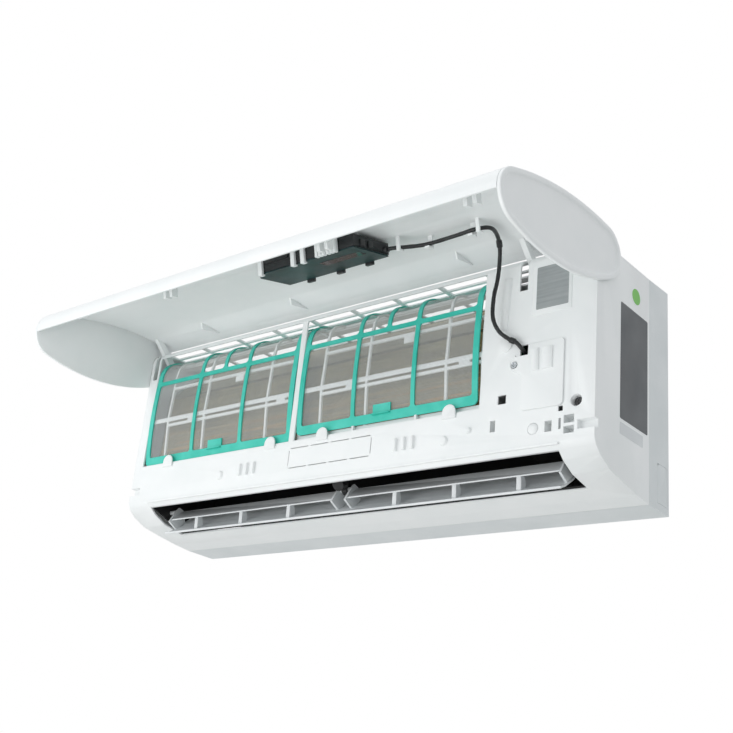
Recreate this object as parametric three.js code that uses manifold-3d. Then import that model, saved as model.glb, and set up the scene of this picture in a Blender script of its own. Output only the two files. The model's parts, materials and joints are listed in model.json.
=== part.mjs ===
// Wall-mounted split air conditioner, indoor unit, front panel swung open.
// Millimetres, +Z up, X along the unit, +Y towards the wall. Inside the unit group, y = 0 is the wall
// and z = 0 is the underside; the exported group moves the origin to the middle of the wall plate.
import * as THREE from "three";
import { mergeVertices } from "three/addons/utils/BufferGeometryUtils.js";
import Module from "manifold-3d";

// ---------------------------------------------------------------- driving dimensions
const HALF_WIDTH = 385; // cabinet, centre to side
const WALL = 2.5; // moulded shell thickness
const GAP = 0.3; // clearance between pieces that touch
const FRONT_Y = -181; // front plane of the frame
const SEAM_Y = -51; // joint between front frame and rear casing
const BACK_Y = -0.6; // rear rim of the casing
const TOP_BACK_Z = 288.5; // top of the casing at the wall
const TOP_SEAM_Z = 286; // top at the seam
const TOP_FRONT_Z = 284; // top of the frame above its front corner
const CORNER_R = 17; // upper front corner of the frame
const BEAM_Z = 274; // lower edge of the beam over the filters

const PIPE_NOTCH = { y0: -30, y1: -5, z0: 9, z1: 57, cornerR: 5 };
const CHANNEL_Z = 60; // roof of the pipe channel along the lower back

const PLATE_CENTRE_Z = 150; // middle of the wall plate above the underside
const PLATE_HALF_WIDTH = 330;
const PLATE_HALF_HEIGHT = 112;
const PLATE_THICKNESS = 1.2;

// Front panel, described closed: a leaf of two end circles joined by two long arcs.
const HINGE = { y: -153, z: 271 };
const PANEL_OPEN_DEG = 75;
const LEAF_TOP = { y: -156, z: 256.5, r: 33 };
const LEAF_BOTTOM = { y: -179, z: 63, r: 31.5 };
const LEAF_FRONT_R = 480;
const LEAF_BACK_R = 309;
const SKIN_TOP_ANGLE = 134; // degrees round the top circle where the skin ends
const SKIN_LIP_ANGLE = 263; // degrees round the bottom circle where the lip ends
const CAP_INNER_X = HALF_WIDTH + 1;
const CAP_THICKNESS = 5;
const CAP_RIM = 4.5;
const HINGE_PIN_R = 3;
const HINGE_CLEARANCE = 0.4;

// Filters and the windows that hold them.
const FILTER_LEFT = { name: "left", x0: -366, x1: -71, bottom: 98, windowX1: -70 };
const FILTER_RIGHT = { name: "right", x0: -60, x1: 229, bottom: 104, windowX1: 234 };
const WINDOW_BOTTOM = 96;
const FILTER_RESTS = [39, 139]; // posts under the foot of the higher filter
const REST_WIDTH = 3;
const TABS = [-309, -103, -9.5, 192]; // half-round tabs that keep the feet of the filters in
const TAB = { r: 9.5, z: 98, base: 90, thickness: 1.7 };
const FILTER_THICKNESS = 2;
const FILTER_BORDER = 8;
const FILTER_FOOT = 12;
const FINGER_TAB = { half: 14, rise: 11, reach: 4 }; // tab in the middle of the foot
const FILTER_BAR = 6;
const FILTER_BAR_AT = 0.62; // cross bar, as a share of the filter's length
const FILTER_SIDE_GAP = 1;
const MESH_THICKNESS = 0.6;
const GRID_SETBACK = 3.8; // front of the support grid behind the front of the filter
const GRID_THICKNESS = 3;
const GRID_BARS = [0.13, 0.39, 0.81]; // upright bars, as shares of its width
const GRID_ROWS = [[0.04, 0.29], [0.31, 0.58], [0.6, 0.95]]; // openings, as shares of its length
const GRID_SIDE = 5.5;
const GRID_BAR = 3.6;
const GRID_LUGS = [{ x: 0.3, s: [0.3, 0.345] }, { x: 0.6, s: [0.535, 0.59] }, { x: 0.9, s: [0.3, 0.345] }];
const GRID_LUG_HALF = 8;

// Outlet, louver, vanes.
const OUTLET_HALF = 339;
const OUTLET_TOP_Z = 33.5;
const OUTLET_LIP_Y = -108;
const DUCT_HALF = 344;
const LOUVER_PIVOT = { y: -133, z: 36 };
const LOUVER_OPEN_DEG = 58;
const LOUVER_HALF = 328;
const LOUVER_PIN_R = 3;
const LOUVER_RIBS = [-270, -180, -90, 90, 180, 270];
const ROOF_FRONT = { y: -168, z: 50 };
const ROOF_NOSE = { y: -127, z: 88 };
const VANE_PITCH = 52;
const VANES_PER_BANK = 5;
const VANE_BANKS = [
  { name: "left", x0: -292 },
  { name: "right", x0: 58 },
];
const VANE_THICKNESS = 1.6;
const VANE_PIN_R = 1.5;
const VANE_CLEARANCE = 0.4;
const VANE_U = 44; // pivot along the roof
const LINK_U = 29; // link pins along the roof

// Cross-flow fan and its drive.
const FAN = { y: -86, z: 122, r: 46, x0: -336, x1: 226 };
const FAN_BLADES = 12;
const FAN_RINGS = 2;
const SHAFT_R = 4;
const MOTOR = { x0: 246, x1: 318, r: 39 };
const BEARING_R = 14; // rubber seat of the fan's free end
const PARTITION_X = 234; // wall between the air duct and the motor
const PAN_FEET = [-214, 6, 136]; // feet of the drain pan on the duct roof

// Heat exchanger.
const COIL_X0 = -350;
const COIL_X1 = 226;
const COIL_LOWER = [[-166, 99.5], [-142, 99.5], [-139, 197], [-162, 206]];
const COIL_UPPER = [[-161, 210], [-138, 201], [-94, 244], [-111, 262]];
const COIL_REAR = [[-106, 266], [-89, 249], [-50, 184.5], [-27, 193]];
const COIL_PLATE = 1.5;
const COIL_LUG = { y0: -149, z0: 110, z1: 124 }; // lugs on the duct that carry the end plates
const BEND_R = 3.5;
const BEND_SIDES = 6;

// Electrics behind the right end of the frame.
const BOX = { x0: 243, x1: 376, y0: -174, y1: -139.5, z0: 96.5, z1: 250 };
const BOARD_Y = -150; // back of the control board
const COVER = { x0: 291, x1: 346, z0: 84, z1: 165, thickness: 2.2 };
const COVER_SCREW = { x: 281, z: 142, headR: 4, shankR: 1.7, length: 8 };
const FRAME_SCREW = { x: 362, z: 87, headR: 5.6, shankR: 2.2, length: 8 };
const SCREW_HEAD = 2.9;
const SCREW_WELL = { depth: 9, r: 7.2, wall: 1.8 };
const BUTTON = { x: 308, z: 61, r: 6.8, rise: 1.6 };
const LABEL_PLATE = { x0: 301, x1: 353, z0: 201, z1: 265, rise: 0.8 };
const LEAD_HOLE = { x0: 287, x1: 298, z0: 153, z1: 166 };
const LEAD_R = 2.5;

// Details of the frame's front face.
const LATCHES = [-142, 127];
const LATCH_Z = 67;
const LATCH_GUARDS = [-13, 0, 13]; // about the middle of a latch
const LATCH_PRONGS = [-6, 6];
const KNOCKOUT = { x0: -66, x1: 74, z0: 59, z1: 86, slit: 1.2 };
const TOP_ROWS = [[-162, -148], [-144, -134], [-122, -76]]; // grille slots, along Y
const TOP_SLOT = { columns: 10, half: 366, bar: 6 };
const HINGE_ARMS = [
  { x0: 7.5 - HALF_WIDTH, x1: 13.5 - HALF_WIDTH },
  { x0: 284.5, x1: 291.5 },
];
const END_PIN_LENGTH = 4; // reach of the panel's end pins inside the side walls
const CORNER_NOTCH = { width: 21, depth: 8, z0: 53, z1: 64 }; // at both lower front corners
const ARM_BOSS_R = 6;
const ARM_CLEARANCE = 2;
const LEAD_RIB = { x: 264, r: 7, z0: 188, z1: 256, rise: 4 };
const LEAD_FOOT = { x: 267, z: 170, r: 9, rise: 2 };
const DOMES = [
  { x: -195, z: 64, r: 7.5 },
  { x: 186, z: 63, r: 7 },
  { x: 221, z: 71, r: 4.5 },
];
const RECESSES = [
  { x: [259.5, 270.5], z: [97, 108] },
  { x: [250.5, 257.5], z: [64.5, 78.5] },
  { x: [323, 332], z: [55, 68] },
  { x: [340.5, 343.5], z: [56, 69] },
  { x: [347, 360], z: [62, 71.5] },
  { x: [347, 360], z: [50, 58.5] },
  { x: [339.5, 345.5], z: [77, 83.5] },
];

// Display module on the inside of the panel.
const DISPLAY = { x0: -15, x1: 150, z0: 92, z1: 160, depth: 17 };
const DISPLAY_COVER = 2; // thickness of its cover
const GLAND = { y: 9.5, z: 153, r: 4.5, length: 4 }; // y behind the back of the module

const CURVE_SEGMENTS = 6;
const WELD = 1e-3;
const FAR = 400; // reach of a cutter that passes right through

// ---------------------------------------------------------------- solids
const wasm = await Module();
wasm.setup();

const rad = THREE.MathUtils.degToRad;

// A closed three.js geometry as a solid that can be joined and cut.
function solid(geometry) {
  const bare = new THREE.BufferGeometry();
  bare.setAttribute("position", geometry.getAttribute("position"));
  if (geometry.index) bare.setIndex(geometry.index);
  const merged = mergeVertices(bare, WELD);
  return new wasm.Manifold(
    new wasm.Mesh({
      numProp: 3,
      vertProperties: merged.getAttribute("position").array,
      triVerts: new Uint32Array(merged.index.array),
    }),
  );
}

const span = (a, b) => [Math.min(a, b), Math.max(a, b)];
const join = (...parts) => parts.reduce((a, b) => a.add(b));
const cut = (body, ...tools) => tools.reduce((a, b) => a.subtract(b), body);

function block(x0, x1, y0, y1, z0, z1) {
  const g = new THREE.BoxGeometry(x1 - x0, y1 - y0, z1 - z0);
  g.translate((x0 + x1) / 2, (y0 + y1) / 2, (z0 + z1) / 2);
  return solid(g);
}

// A shape drawn in (y, z), extruded along X.
function alongX(shape, x0, x1, segments = CURVE_SEGMENTS) {
  const settings = { depth: x1 - x0, bevelEnabled: false, curveSegments: segments };
  const g = new THREE.ExtrudeGeometry(shape, settings);
  const turn = new THREE.Matrix4().makeBasis(
    new THREE.Vector3(0, 1, 0),
    new THREE.Vector3(0, 0, 1),
    new THREE.Vector3(1, 0, 0),
  );
  g.applyMatrix4(turn);
  g.translate(x0, 0, 0);
  return solid(g);
}

// A shape drawn in (x, z), extruded from y0 towards the front to y1 < y0.
function towardsFront(shape, y0, y1, segments = CURVE_SEGMENTS) {
  const settings = { depth: y0 - y1, bevelEnabled: false, curveSegments: segments };
  const g = new THREE.ExtrudeGeometry(shape, settings);
  g.rotateX(Math.PI / 2);
  g.translate(0, y0, 0);
  return solid(g);
}

// A round bar between two points, tapered when r1 is given.
function rod(from, to, r0, sides = 12, r1 = r0) {
  const a = new THREE.Vector3(...from);
  const b = new THREE.Vector3(...to);
  const length = a.distanceTo(b);
  const g = new THREE.CylinderGeometry(r1, r0, length, sides);
  g.translate(0, length / 2, 0);
  const direction = b.clone().sub(a).normalize();
  g.applyQuaternion(new THREE.Quaternion().setFromUnitVectors(new THREE.Vector3(0, 1, 0), direction));
  g.translate(a.x, a.y, a.z);
  return solid(g);
}

const rodX = (x0, x1, y, z, r, sides = 12) => rod([x0, y, z], [x1, y, z], r, sides);
const rodY = (x, y0, y1, z, r, sides = 12) => rod([x, y0, z], [x, y1, z], r, sides);

// A tube that follows a smooth curve through the points.
function tube(points, r, sides, steps) {
  const curve = new THREE.CatmullRomCurve3(points.map((p) => new THREE.Vector3(...p)));
  const section = new THREE.Shape();
  section.absarc(0, 0, r, 0, 2 * Math.PI);
  const outline = section.getPoints(sides / 2).slice(0, -1);
  const settings = { steps, extrudePath: curve };
  return solid(new THREE.ExtrudeGeometry(new THREE.Shape(outline), settings));
}

const polygon = (points) => new THREE.Shape(points.map(([a, b]) => new THREE.Vector2(a, b)));

// Points beside a polyline, at the given distance to its left.
function beside(points, distance) {
  return points.map(([a, b], i) => {
    const before = points[Math.max(i - 1, 0)];
    const after = points[Math.min(i + 1, points.length - 1)];
    const here = new THREE.Vector2(a, b);
    const d0 = here.clone().sub(new THREE.Vector2(...before)).normalize();
    const d1 = new THREE.Vector2(...after).sub(here).normalize();
    if (i === 0) d0.copy(d1);
    if (i === points.length - 1) d1.copy(d0);
    const normal = new THREE.Vector2(-d0.y - d1.y, d0.x + d1.x).normalize();
    const stretch = distance / Math.max(normal.dot(new THREE.Vector2(-d0.y, d0.x)), 0.4);
    return [a + normal.x * stretch, b + normal.y * stretch];
  });
}

// A sheet drawn by its line, lying between two distances to the line's left.
function sheet(points, near, far) {
  return polygon([...beside(points, near), ...beside(points, far).reverse()]);
}

// ---------------------------------------------------------------- shared outlines
// Outer line of the frame from the seam under the unit, round the chin and up to the seam on top.
function frameOutline(inset) {
  const chin = [
    [SEAM_Y, 1],
    [-80, 4],
    [-113, 9],
    [-145, 15],
    [-166, 25],
    [-177, 34],
    [FRONT_Y, 43],
    [FRONT_Y, TOP_FRONT_Z - CORNER_R],
  ];
  const corner = [];
  const steps = 5;
  for (let i = 1; i <= steps; i++) {
    const angle = Math.PI - (i / steps) * (Math.PI / 2);
    corner.push([
      FRONT_Y + CORNER_R + CORNER_R * Math.cos(angle),
      TOP_FRONT_Z - CORNER_R + CORNER_R * Math.sin(angle),
    ]);
  }
  const line = [...chin, ...corner, [SEAM_Y, TOP_SEAM_Z]];
  return inset ? beside(line, -inset) : line;
}

// Line of the front face of the filters, from the height given up and over the coil.
function filterLine(bottom) {
  const lower = new THREE.QuadraticBezierCurve(
    new THREE.Vector2(-176.5, WINDOW_BOTTOM),
    new THREE.Vector2(-187, 165),
    new THREE.Vector2(-179.5, 236),
  );
  const upper = new THREE.QuadraticBezierCurve(
    new THREE.Vector2(-179.5, 236),
    new THREE.Vector2(-178, 273),
    new THREE.Vector2(-136, 276.5),
  );
  const line = [...lower.getPoints(2), ...upper.getPoints(4).slice(1)].map((p) => [p.x, p.y]);
  const rise = line[1][1] - line[0][1];
  const cutOff = ((bottom - WINDOW_BOTTOM) / rise) * lineLength(line.slice(0, 2));
  return bottom > WINDOW_BOTTOM ? stretchOf(line, cutOff, lineLength(line)) : line;
}

// The stretch of a line between two distances along it.
function stretchOf(line, from, to) {
  const path = new THREE.CurvePath();
  for (let i = 1; i < line.length; i++) {
    path.add(new THREE.LineCurve(new THREE.Vector2(...line[i - 1]), new THREE.Vector2(...line[i])));
  }
  const lengths = path.getCurveLengths();
  const total = lengths[lengths.length - 1];
  const inside = line.slice(1, -1).filter((p, i) => lengths[i] > from + 1 && lengths[i] < to - 1);
  const at = (s) => path.getPoint(Math.min(Math.max(s, 0), total) / total).toArray();
  return [at(from), ...inside, at(to)];
}

// A sheet that follows a line, with openings given by their ends along X and along the line.
function lattice(line, near, far, x0, x1, openings) {
  const body = alongX(sheet(line, near, far), x0, x1);
  const tools = openings.map(({ x, s }) => {
    const [from, to] = stretchEnds(line, s);
    return alongX(sheet(stretchOf(line, from, to), near + 1, far - 1), x[0], x[1]);
  });
  return cut(body, ...tools);
}

// Distances along a line at two shares of its length.
function stretchEnds(line, [from, to]) {
  const total = lineLength(line);
  return [from * total, to * total];
}

function lineLength(line) {
  return line.slice(1).reduce((sum, p, i) => sum + Math.hypot(p[0] - line[i][0], p[1] - line[i][1]), 0);
}

// Centre of the arc of radius r that is tangent inside both end circles of the leaf; side is +1 for a
// centre behind the leaf, so the arc is the front edge, and -1 for the back edge.
function leafArc(r, side) {
  const a = new THREE.Vector2(LEAF_TOP.y, LEAF_TOP.z);
  const b = new THREE.Vector2(LEAF_BOTTOM.y, LEAF_BOTTOM.z);
  const ra = r - LEAF_TOP.r;
  const rb = r - LEAF_BOTTOM.r;
  const d = a.distanceTo(b);
  const along = (ra * ra - rb * rb + d * d) / (2 * d);
  const aside = Math.sqrt(ra * ra - along * along);
  const u = b.clone().sub(a).normalize();
  const v = new THREE.Vector2(-u.y, u.x).multiplyScalar(side);
  return a.clone().addScaledVector(u, along).addScaledVector(v, aside);
}

const LEAF_FRONT_CENTRE = leafArc(LEAF_FRONT_R, 1);
const LEAF_BACK_CENTRE = leafArc(LEAF_BACK_R, -1);
const angleFrom = (centre, end) => Math.atan2(end.z - centre.y, end.y - centre.x);
const FRONT_TOP_ANGLE = angleFrom(LEAF_FRONT_CENTRE, LEAF_TOP);
const FRONT_LOW_ANGLE = angleFrom(LEAF_FRONT_CENTRE, LEAF_BOTTOM) + 2 * Math.PI;
const BACK_TOP_ANGLE = angleFrom(LEAF_BACK_CENTRE, LEAF_TOP);
const BACK_LOW_ANGLE = angleFrom(LEAF_BACK_CENTRE, LEAF_BOTTOM);

// Points round the whole leaf, moved inwards by inset: back edge, top, front edge, bottom.
function leafPoints(inset) {
  const back = LEAF_BACK_CENTRE;
  const front = LEAF_FRONT_CENTRE;
  const arcs = [
    [back.x, back.y, LEAF_BACK_R, BACK_LOW_ANGLE, BACK_TOP_ANGLE, 7],
    [LEAF_TOP.y, LEAF_TOP.z, LEAF_TOP.r, BACK_TOP_ANGLE, FRONT_TOP_ANGLE, 7],
    [front.x, front.y, LEAF_FRONT_R, FRONT_TOP_ANGLE, FRONT_LOW_ANGLE, 7],
    [LEAF_BOTTOM.y, LEAF_BOTTOM.z, LEAF_BOTTOM.r, FRONT_LOW_ANGLE, BACK_LOW_ANGLE + 2 * Math.PI, 7],
  ];
  return arcs.flatMap(([y, z, r, from, to, steps]) =>
    Array.from({ length: steps }, (_, i) => {
      const angle = from + ((to - from) * i) / steps;
      return [y + (r - inset) * Math.cos(angle), z + (r - inset) * Math.sin(angle)];
    }),
  );
}

// The moulded skin: the leaf's front edge from behind the top round to the lip underneath.
function skinSection() {
  const shape = new THREE.Shape();
  const top = rad(SKIN_TOP_ANGLE);
  const lip = rad(SKIN_LIP_ANGLE);
  const arcs = [
    [LEAF_TOP.y, LEAF_TOP.z, LEAF_TOP.r, top, FRONT_TOP_ANGLE],
    [LEAF_FRONT_CENTRE.x, LEAF_FRONT_CENTRE.y, LEAF_FRONT_R, FRONT_TOP_ANGLE, FRONT_LOW_ANGLE],
    [LEAF_BOTTOM.y, LEAF_BOTTOM.z, LEAF_BOTTOM.r, FRONT_LOW_ANGLE, lip],
  ];
  for (const [y, z, r, from, to] of arcs) shape.absarc(y, z, r, from, to);
  for (const [y, z, r, from, to] of arcs.reverse()) shape.absarc(y, z, r - WALL, to, from, true);
  return shape;
}

// y of the inner face of the closed skin at height z.
function skinInnerY(z) {
  const r = LEAF_FRONT_R - WALL;
  return LEAF_FRONT_CENTRE.x - Math.sqrt(r * r - (z - LEAF_FRONT_CENTRE.y) ** 2);
}

// Line of the scroll behind and under the fan, from the rear drip trough to the outlet's lower lip.
function scrollLine() {
  const curve = new THREE.SplineCurve(
    [
      [-40, 176],
      [-34, 150],
      [-33, 122],
      [-44, 84],
      [-70, 43],
      [OUTLET_LIP_Y + GAP, 13.4],
    ].map(([y, z]) => new THREE.Vector2(y, z)),
  );
  return curve.getPoints(10).map((p) => [p.x, p.y]);
}

// y of the scroll at height z, below the fan's axis.
function scrollY(z) {
  const line = scrollLine();
  const i = line.findIndex((p) => p[1] < z);
  const [a, b] = [line[i - 1], line[i]];
  return a[0] + ((b[0] - a[0]) * (a[1] - z)) / (a[1] - b[1]);
}

// A point given along the duct roof (u) and below it (w).
const ROOF_DIRECTION = new THREE.Vector2(ROOF_NOSE.y - ROOF_FRONT.y, ROOF_NOSE.z - ROOF_FRONT.z).normalize();
const ROOF_DOWN = new THREE.Vector2(ROOF_DIRECTION.y, -ROOF_DIRECTION.x);
const roofPoint = (u, w) => [
  ROOF_FRONT.y + u * ROOF_DIRECTION.x + w * ROOF_DOWN.x,
  ROOF_FRONT.z + u * ROOF_DIRECTION.y + w * ROOF_DOWN.y,
];
const roofRod = (x, u, w0, w1, r, sides) => {
  const a = roofPoint(u, w0);
  const b = roofPoint(u, w1);
  return rod([x, ...a], [x, ...b], r, sides);
};

// ---------------------------------------------------------------- cabinet
function wallPlate() {
  const z0 = PLATE_CENTRE_Z - PLATE_HALF_HEIGHT;
  const z1 = PLATE_CENTRE_Z + PLATE_HALF_HEIGHT;
  const plate = block(-PLATE_HALF_WIDTH, PLATE_HALF_WIDTH, -PLATE_THICKNESS, 0, z0, z1);
  const screwHoles = [-280, 0, 280].flatMap((x) =>
    [z0 + 30, z1 - 30].map((z) => rodY(x, 5, -5, z, 3, 6)),
  );
  const slots = [-255, 175].map((x) => block(x, x + 80, -5, 5, PLATE_CENTRE_Z - 18, PLATE_CENTRE_Z + 18));
  const hooks = [-210, 210].flatMap((x) => [
    block(x - 12, x + 12, -14, -PLATE_THICKNESS / 2, z1 - 1.5, z1),
    block(x - 12, x + 12, -14, -12.5, z1 - 1.5, z1 + 8),
  ]);
  return cut(join(plate, ...hooks), ...screwHoles, ...slots);
}

function rearCasing() {
  const side = polygon([
    [SEAM_Y, 1],
    [BACK_Y, 0],
    [BACK_Y, TOP_BACK_Z],
    [SEAM_Y, TOP_SEAM_Z],
  ]);
  const left = alongX(side, -HALF_WIDTH, -HALF_WIDTH + WALL);
  const right = alongX(side, HALF_WIDTH - WALL, HALF_WIDTH);
  const top = alongX(
    sheet([[SEAM_Y, TOP_SEAM_Z], [BACK_Y, TOP_BACK_Z]], -WALL, 0),
    -HALF_WIDTH + 1,
    HALF_WIDTH - 1,
  );
  const floor = alongX(sheet([[SEAM_Y, 1], [BACK_Y, 0]], 0, WALL), -HALF_WIDTH + 1, HALF_WIDTH - 1);
  const trough = alongX(
    sheet([[-18, TOP_BACK_Z - 5], [-18, 179], [-60, 179], [-62, 188]], 0, 2),
    -HALF_WIDTH + WALL + 1,
    HALF_WIDTH - WALL - 1,
  );
  const channelRoof = alongX(
    sheet([[-48, CHANNEL_Z], [-4, CHANNEL_Z]], 0, 2),
    -HALF_WIDTH + 1,
    HALF_WIDTH - 1,
  );
  const scrollBack = beside(scrollLine(), 2 + GAP).filter(([, z]) => z > CHANNEL_Z && z < 172);
  const ribShape = polygon([
    [-PLATE_THICKNESS - GAP, CHANNEL_Z],
    [-PLATE_THICKNESS - GAP, PLATE_CENTRE_Z + PLATE_HALF_HEIGHT - 6],
    [-17, PLATE_CENTRE_Z + PLATE_HALF_HEIGHT + 4],
    [-17, 180],
    [-34, 180],
    ...scrollBack,
    [-46, CHANNEL_Z],
  ]);
  const ribs = [-300, -100, 100, 300].map((x) => alongX(ribShape, x - 1, x + 1));
  const channelRibs = [-372, -120, 120].map((x) =>
    alongX(polygon([[-48, 1], [-34, 1], [-34, CHANNEL_Z + 1], [-48, CHANNEL_Z + 1]]), x - 1, x + 1),
  );
  const notch = block(
    HALF_WIDTH - 2 * WALL,
    HALF_WIDTH + 1,
    PIPE_NOTCH.y0,
    PIPE_NOTCH.y1,
    PIPE_NOTCH.z0,
    PIPE_NOTCH.z1,
  );
  return cut(join(left, right, top, floor, trough, channelRoof, ...ribs, ...channelRibs), notch);
}

function pipeCover() {
  const shape = new THREE.Shape();
  const r = PIPE_NOTCH.cornerR;
  const y0 = PIPE_NOTCH.y0 + GAP;
  const y1 = PIPE_NOTCH.y1 - GAP;
  const z0 = PIPE_NOTCH.z0 + GAP;
  const z1 = PIPE_NOTCH.z1 - GAP;
  shape.moveTo(y0, z0);
  shape.lineTo(y1, z0);
  shape.lineTo(y1, z1);
  shape.lineTo(y0 + r, z1);
  shape.absarc(y0 + r, z1 - r, r, Math.PI / 2, Math.PI);
  shape.lineTo(y0, z0);
  return alongX(shape, HALF_WIDTH - WALL, HALF_WIDTH, 3);
}

// Slots of the grille in the top of the frame.
function topSlots() {
  const pitch = (2 * TOP_SLOT.half + TOP_SLOT.bar) / TOP_SLOT.columns;
  return TOP_ROWS.flatMap(([y0, y1]) =>
    Array.from({ length: TOP_SLOT.columns }, (_, i) => {
      const x0 = -TOP_SLOT.half + i * pitch;
      return block(x0, x0 + pitch - TOP_SLOT.bar, y0, y1, BEAM_Z, TOP_BACK_Z + 2);
    }),
  );
}

// Window of one filter in the frame's front, up to the beam.
function windowCutter(filter) {
  const section = sheet(filterLine(WINDOW_BOTTOM), -GRID_SETBACK, 14);
  const opening = alongX(section, filter.x0 - FILTER_SIDE_GAP, filter.windowX1);
  return cut(opening, block(-FAR, FAR, -FAR, FAR, BEAM_Z, FAR));
}

// The curved grid of bars behind a filter, with its seat at the top and its ledge at the bottom.
function filterGrid(filter) {
  const line = filterLine(WINDOW_BOTTOM);
  const x0 = filter.x0 - FILTER_SIDE_GAP - 2;
  const x1 = filter.windowX1 + 2;
  const near = -GRID_SETBACK;
  const far = near - GRID_THICKNESS;
  const bars = GRID_BARS.map((share) => x0 + share * (x1 - x0));
  const lefts = [x0 + GRID_SIDE, ...bars.map((x) => x + GRID_BAR / 2)];
  const rights = [...bars.map((x) => x - GRID_BAR / 2), x1 - GRID_SIDE];
  const [outer, ...columns] = lefts.map((x, i) => [x, rights[i]]);
  const openings = columns.flatMap((x) => GRID_ROWS.map((s) => ({ x, s })));
  const tall = { x: outer, s: [GRID_ROWS[0][0], GRID_ROWS[GRID_ROWS.length - 1][1]] };
  const grid = lattice(line, near, far, x0, x1, [tall, ...openings]);
  const lugs = GRID_LUGS.map(({ x, s }) => {
    const middle = x0 + x * (x1 - x0);
    const section = sheet(stretchOf(line, ...stretchEnds(line, s)), near - 0.5, far + 0.5);
    return alongX(section, middle - GRID_LUG_HALF, middle + GRID_LUG_HALF);
  });
  const shelf = block(x0, x1, -141, -129.6, 267, 271.5);
  const riser = block(x0, x1, -132.6, -129.6, 267, TOP_FRONT_Z - 1);
  const ledge = block(x0, x1, FRONT_Y + 0.5, -168, WINDOW_BOTTOM - WALL, WINDOW_BOTTOM + 1);
  return join(grid, ...lugs, shelf, riser, ledge);
}

// Half-round tab on the frame that keeps a filter's foot in its window.
function retainingTab(x) {
  const shape = new THREE.Shape();
  shape.moveTo(x - TAB.r, TAB.base);
  shape.lineTo(x + TAB.r, TAB.base);
  shape.lineTo(x + TAB.r, TAB.z);
  shape.absarc(x, TAB.z, TAB.r, 0, Math.PI);
  const near = FRONT_Y - 3 * GAP;
  const plate = towardsFront(shape, near, near - TAB.thickness, 4);
  const foot = block(x - TAB.r, x + TAB.r, near - 0.5, FRONT_Y + 1, TAB.base, WINDOW_BOTTOM - WALL);
  return join(plate, foot);
}

const filterRest = (x) =>
  block(
    x - REST_WIDTH / 2,
    x + REST_WIDTH / 2,
    FRONT_Y + 1.5,
    FRONT_Y + 6,
    WINDOW_BOTTOM,
    FILTER_RIGHT.bottom - GAP,
  );

// Slits round the break-out field in the middle of the front.
function knockoutCuts() {
  const { x0, x1, z0, z1, slit } = KNOCKOUT;
  const across = 4;
  const step = (x1 - x0) / across;
  const cuts = [];
  for (let i = 0; i < across; i++) {
    const a = x0 + i * step + 2;
    for (const z of [z0, z1]) cuts.push(frontHole([a, a + step - 4], [z - slit / 2, z + slit / 2]));
  }
  for (const x of [x0, x1]) cuts.push(frontHole([x - slit / 2, x + slit / 2], [z0 + 3, z1 - 3]));
  return cuts;
}

// A cutter straight through the front wall of the frame.
const frontHole = (x, z) => block(...x, FRONT_Y - 5, FRONT_Y + 5, ...z);

function latchSeat(x) {
  const guards = LATCH_GUARDS.map((dx) =>
    block(x + dx - 2, x + dx + 2, FRONT_Y - 4, FRONT_Y + 1, LATCH_Z - 8, LATCH_Z + 8),
  );
  return join(...guards);
}

// Slot in which a hinge arm of the panel swings, from the front over the corner to the top.
const armSlot = ({ x0, x1 }) =>
  block(x0 - ARM_CLEARANCE, x1 + ARM_CLEARANCE, -FAR, HINGE.y - 1, 237, TOP_BACK_Z + 2);

function leadRib() {
  const { x, r, z0, z1, rise } = LEAD_RIB;
  const y = FRONT_Y - rise + r;
  return cut(rod([x - 2, y, z0], [x + 2, y, z1], r, 12), block(-FAR, FAR, FRONT_Y + 1, FAR, 0, FAR));
}

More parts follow.
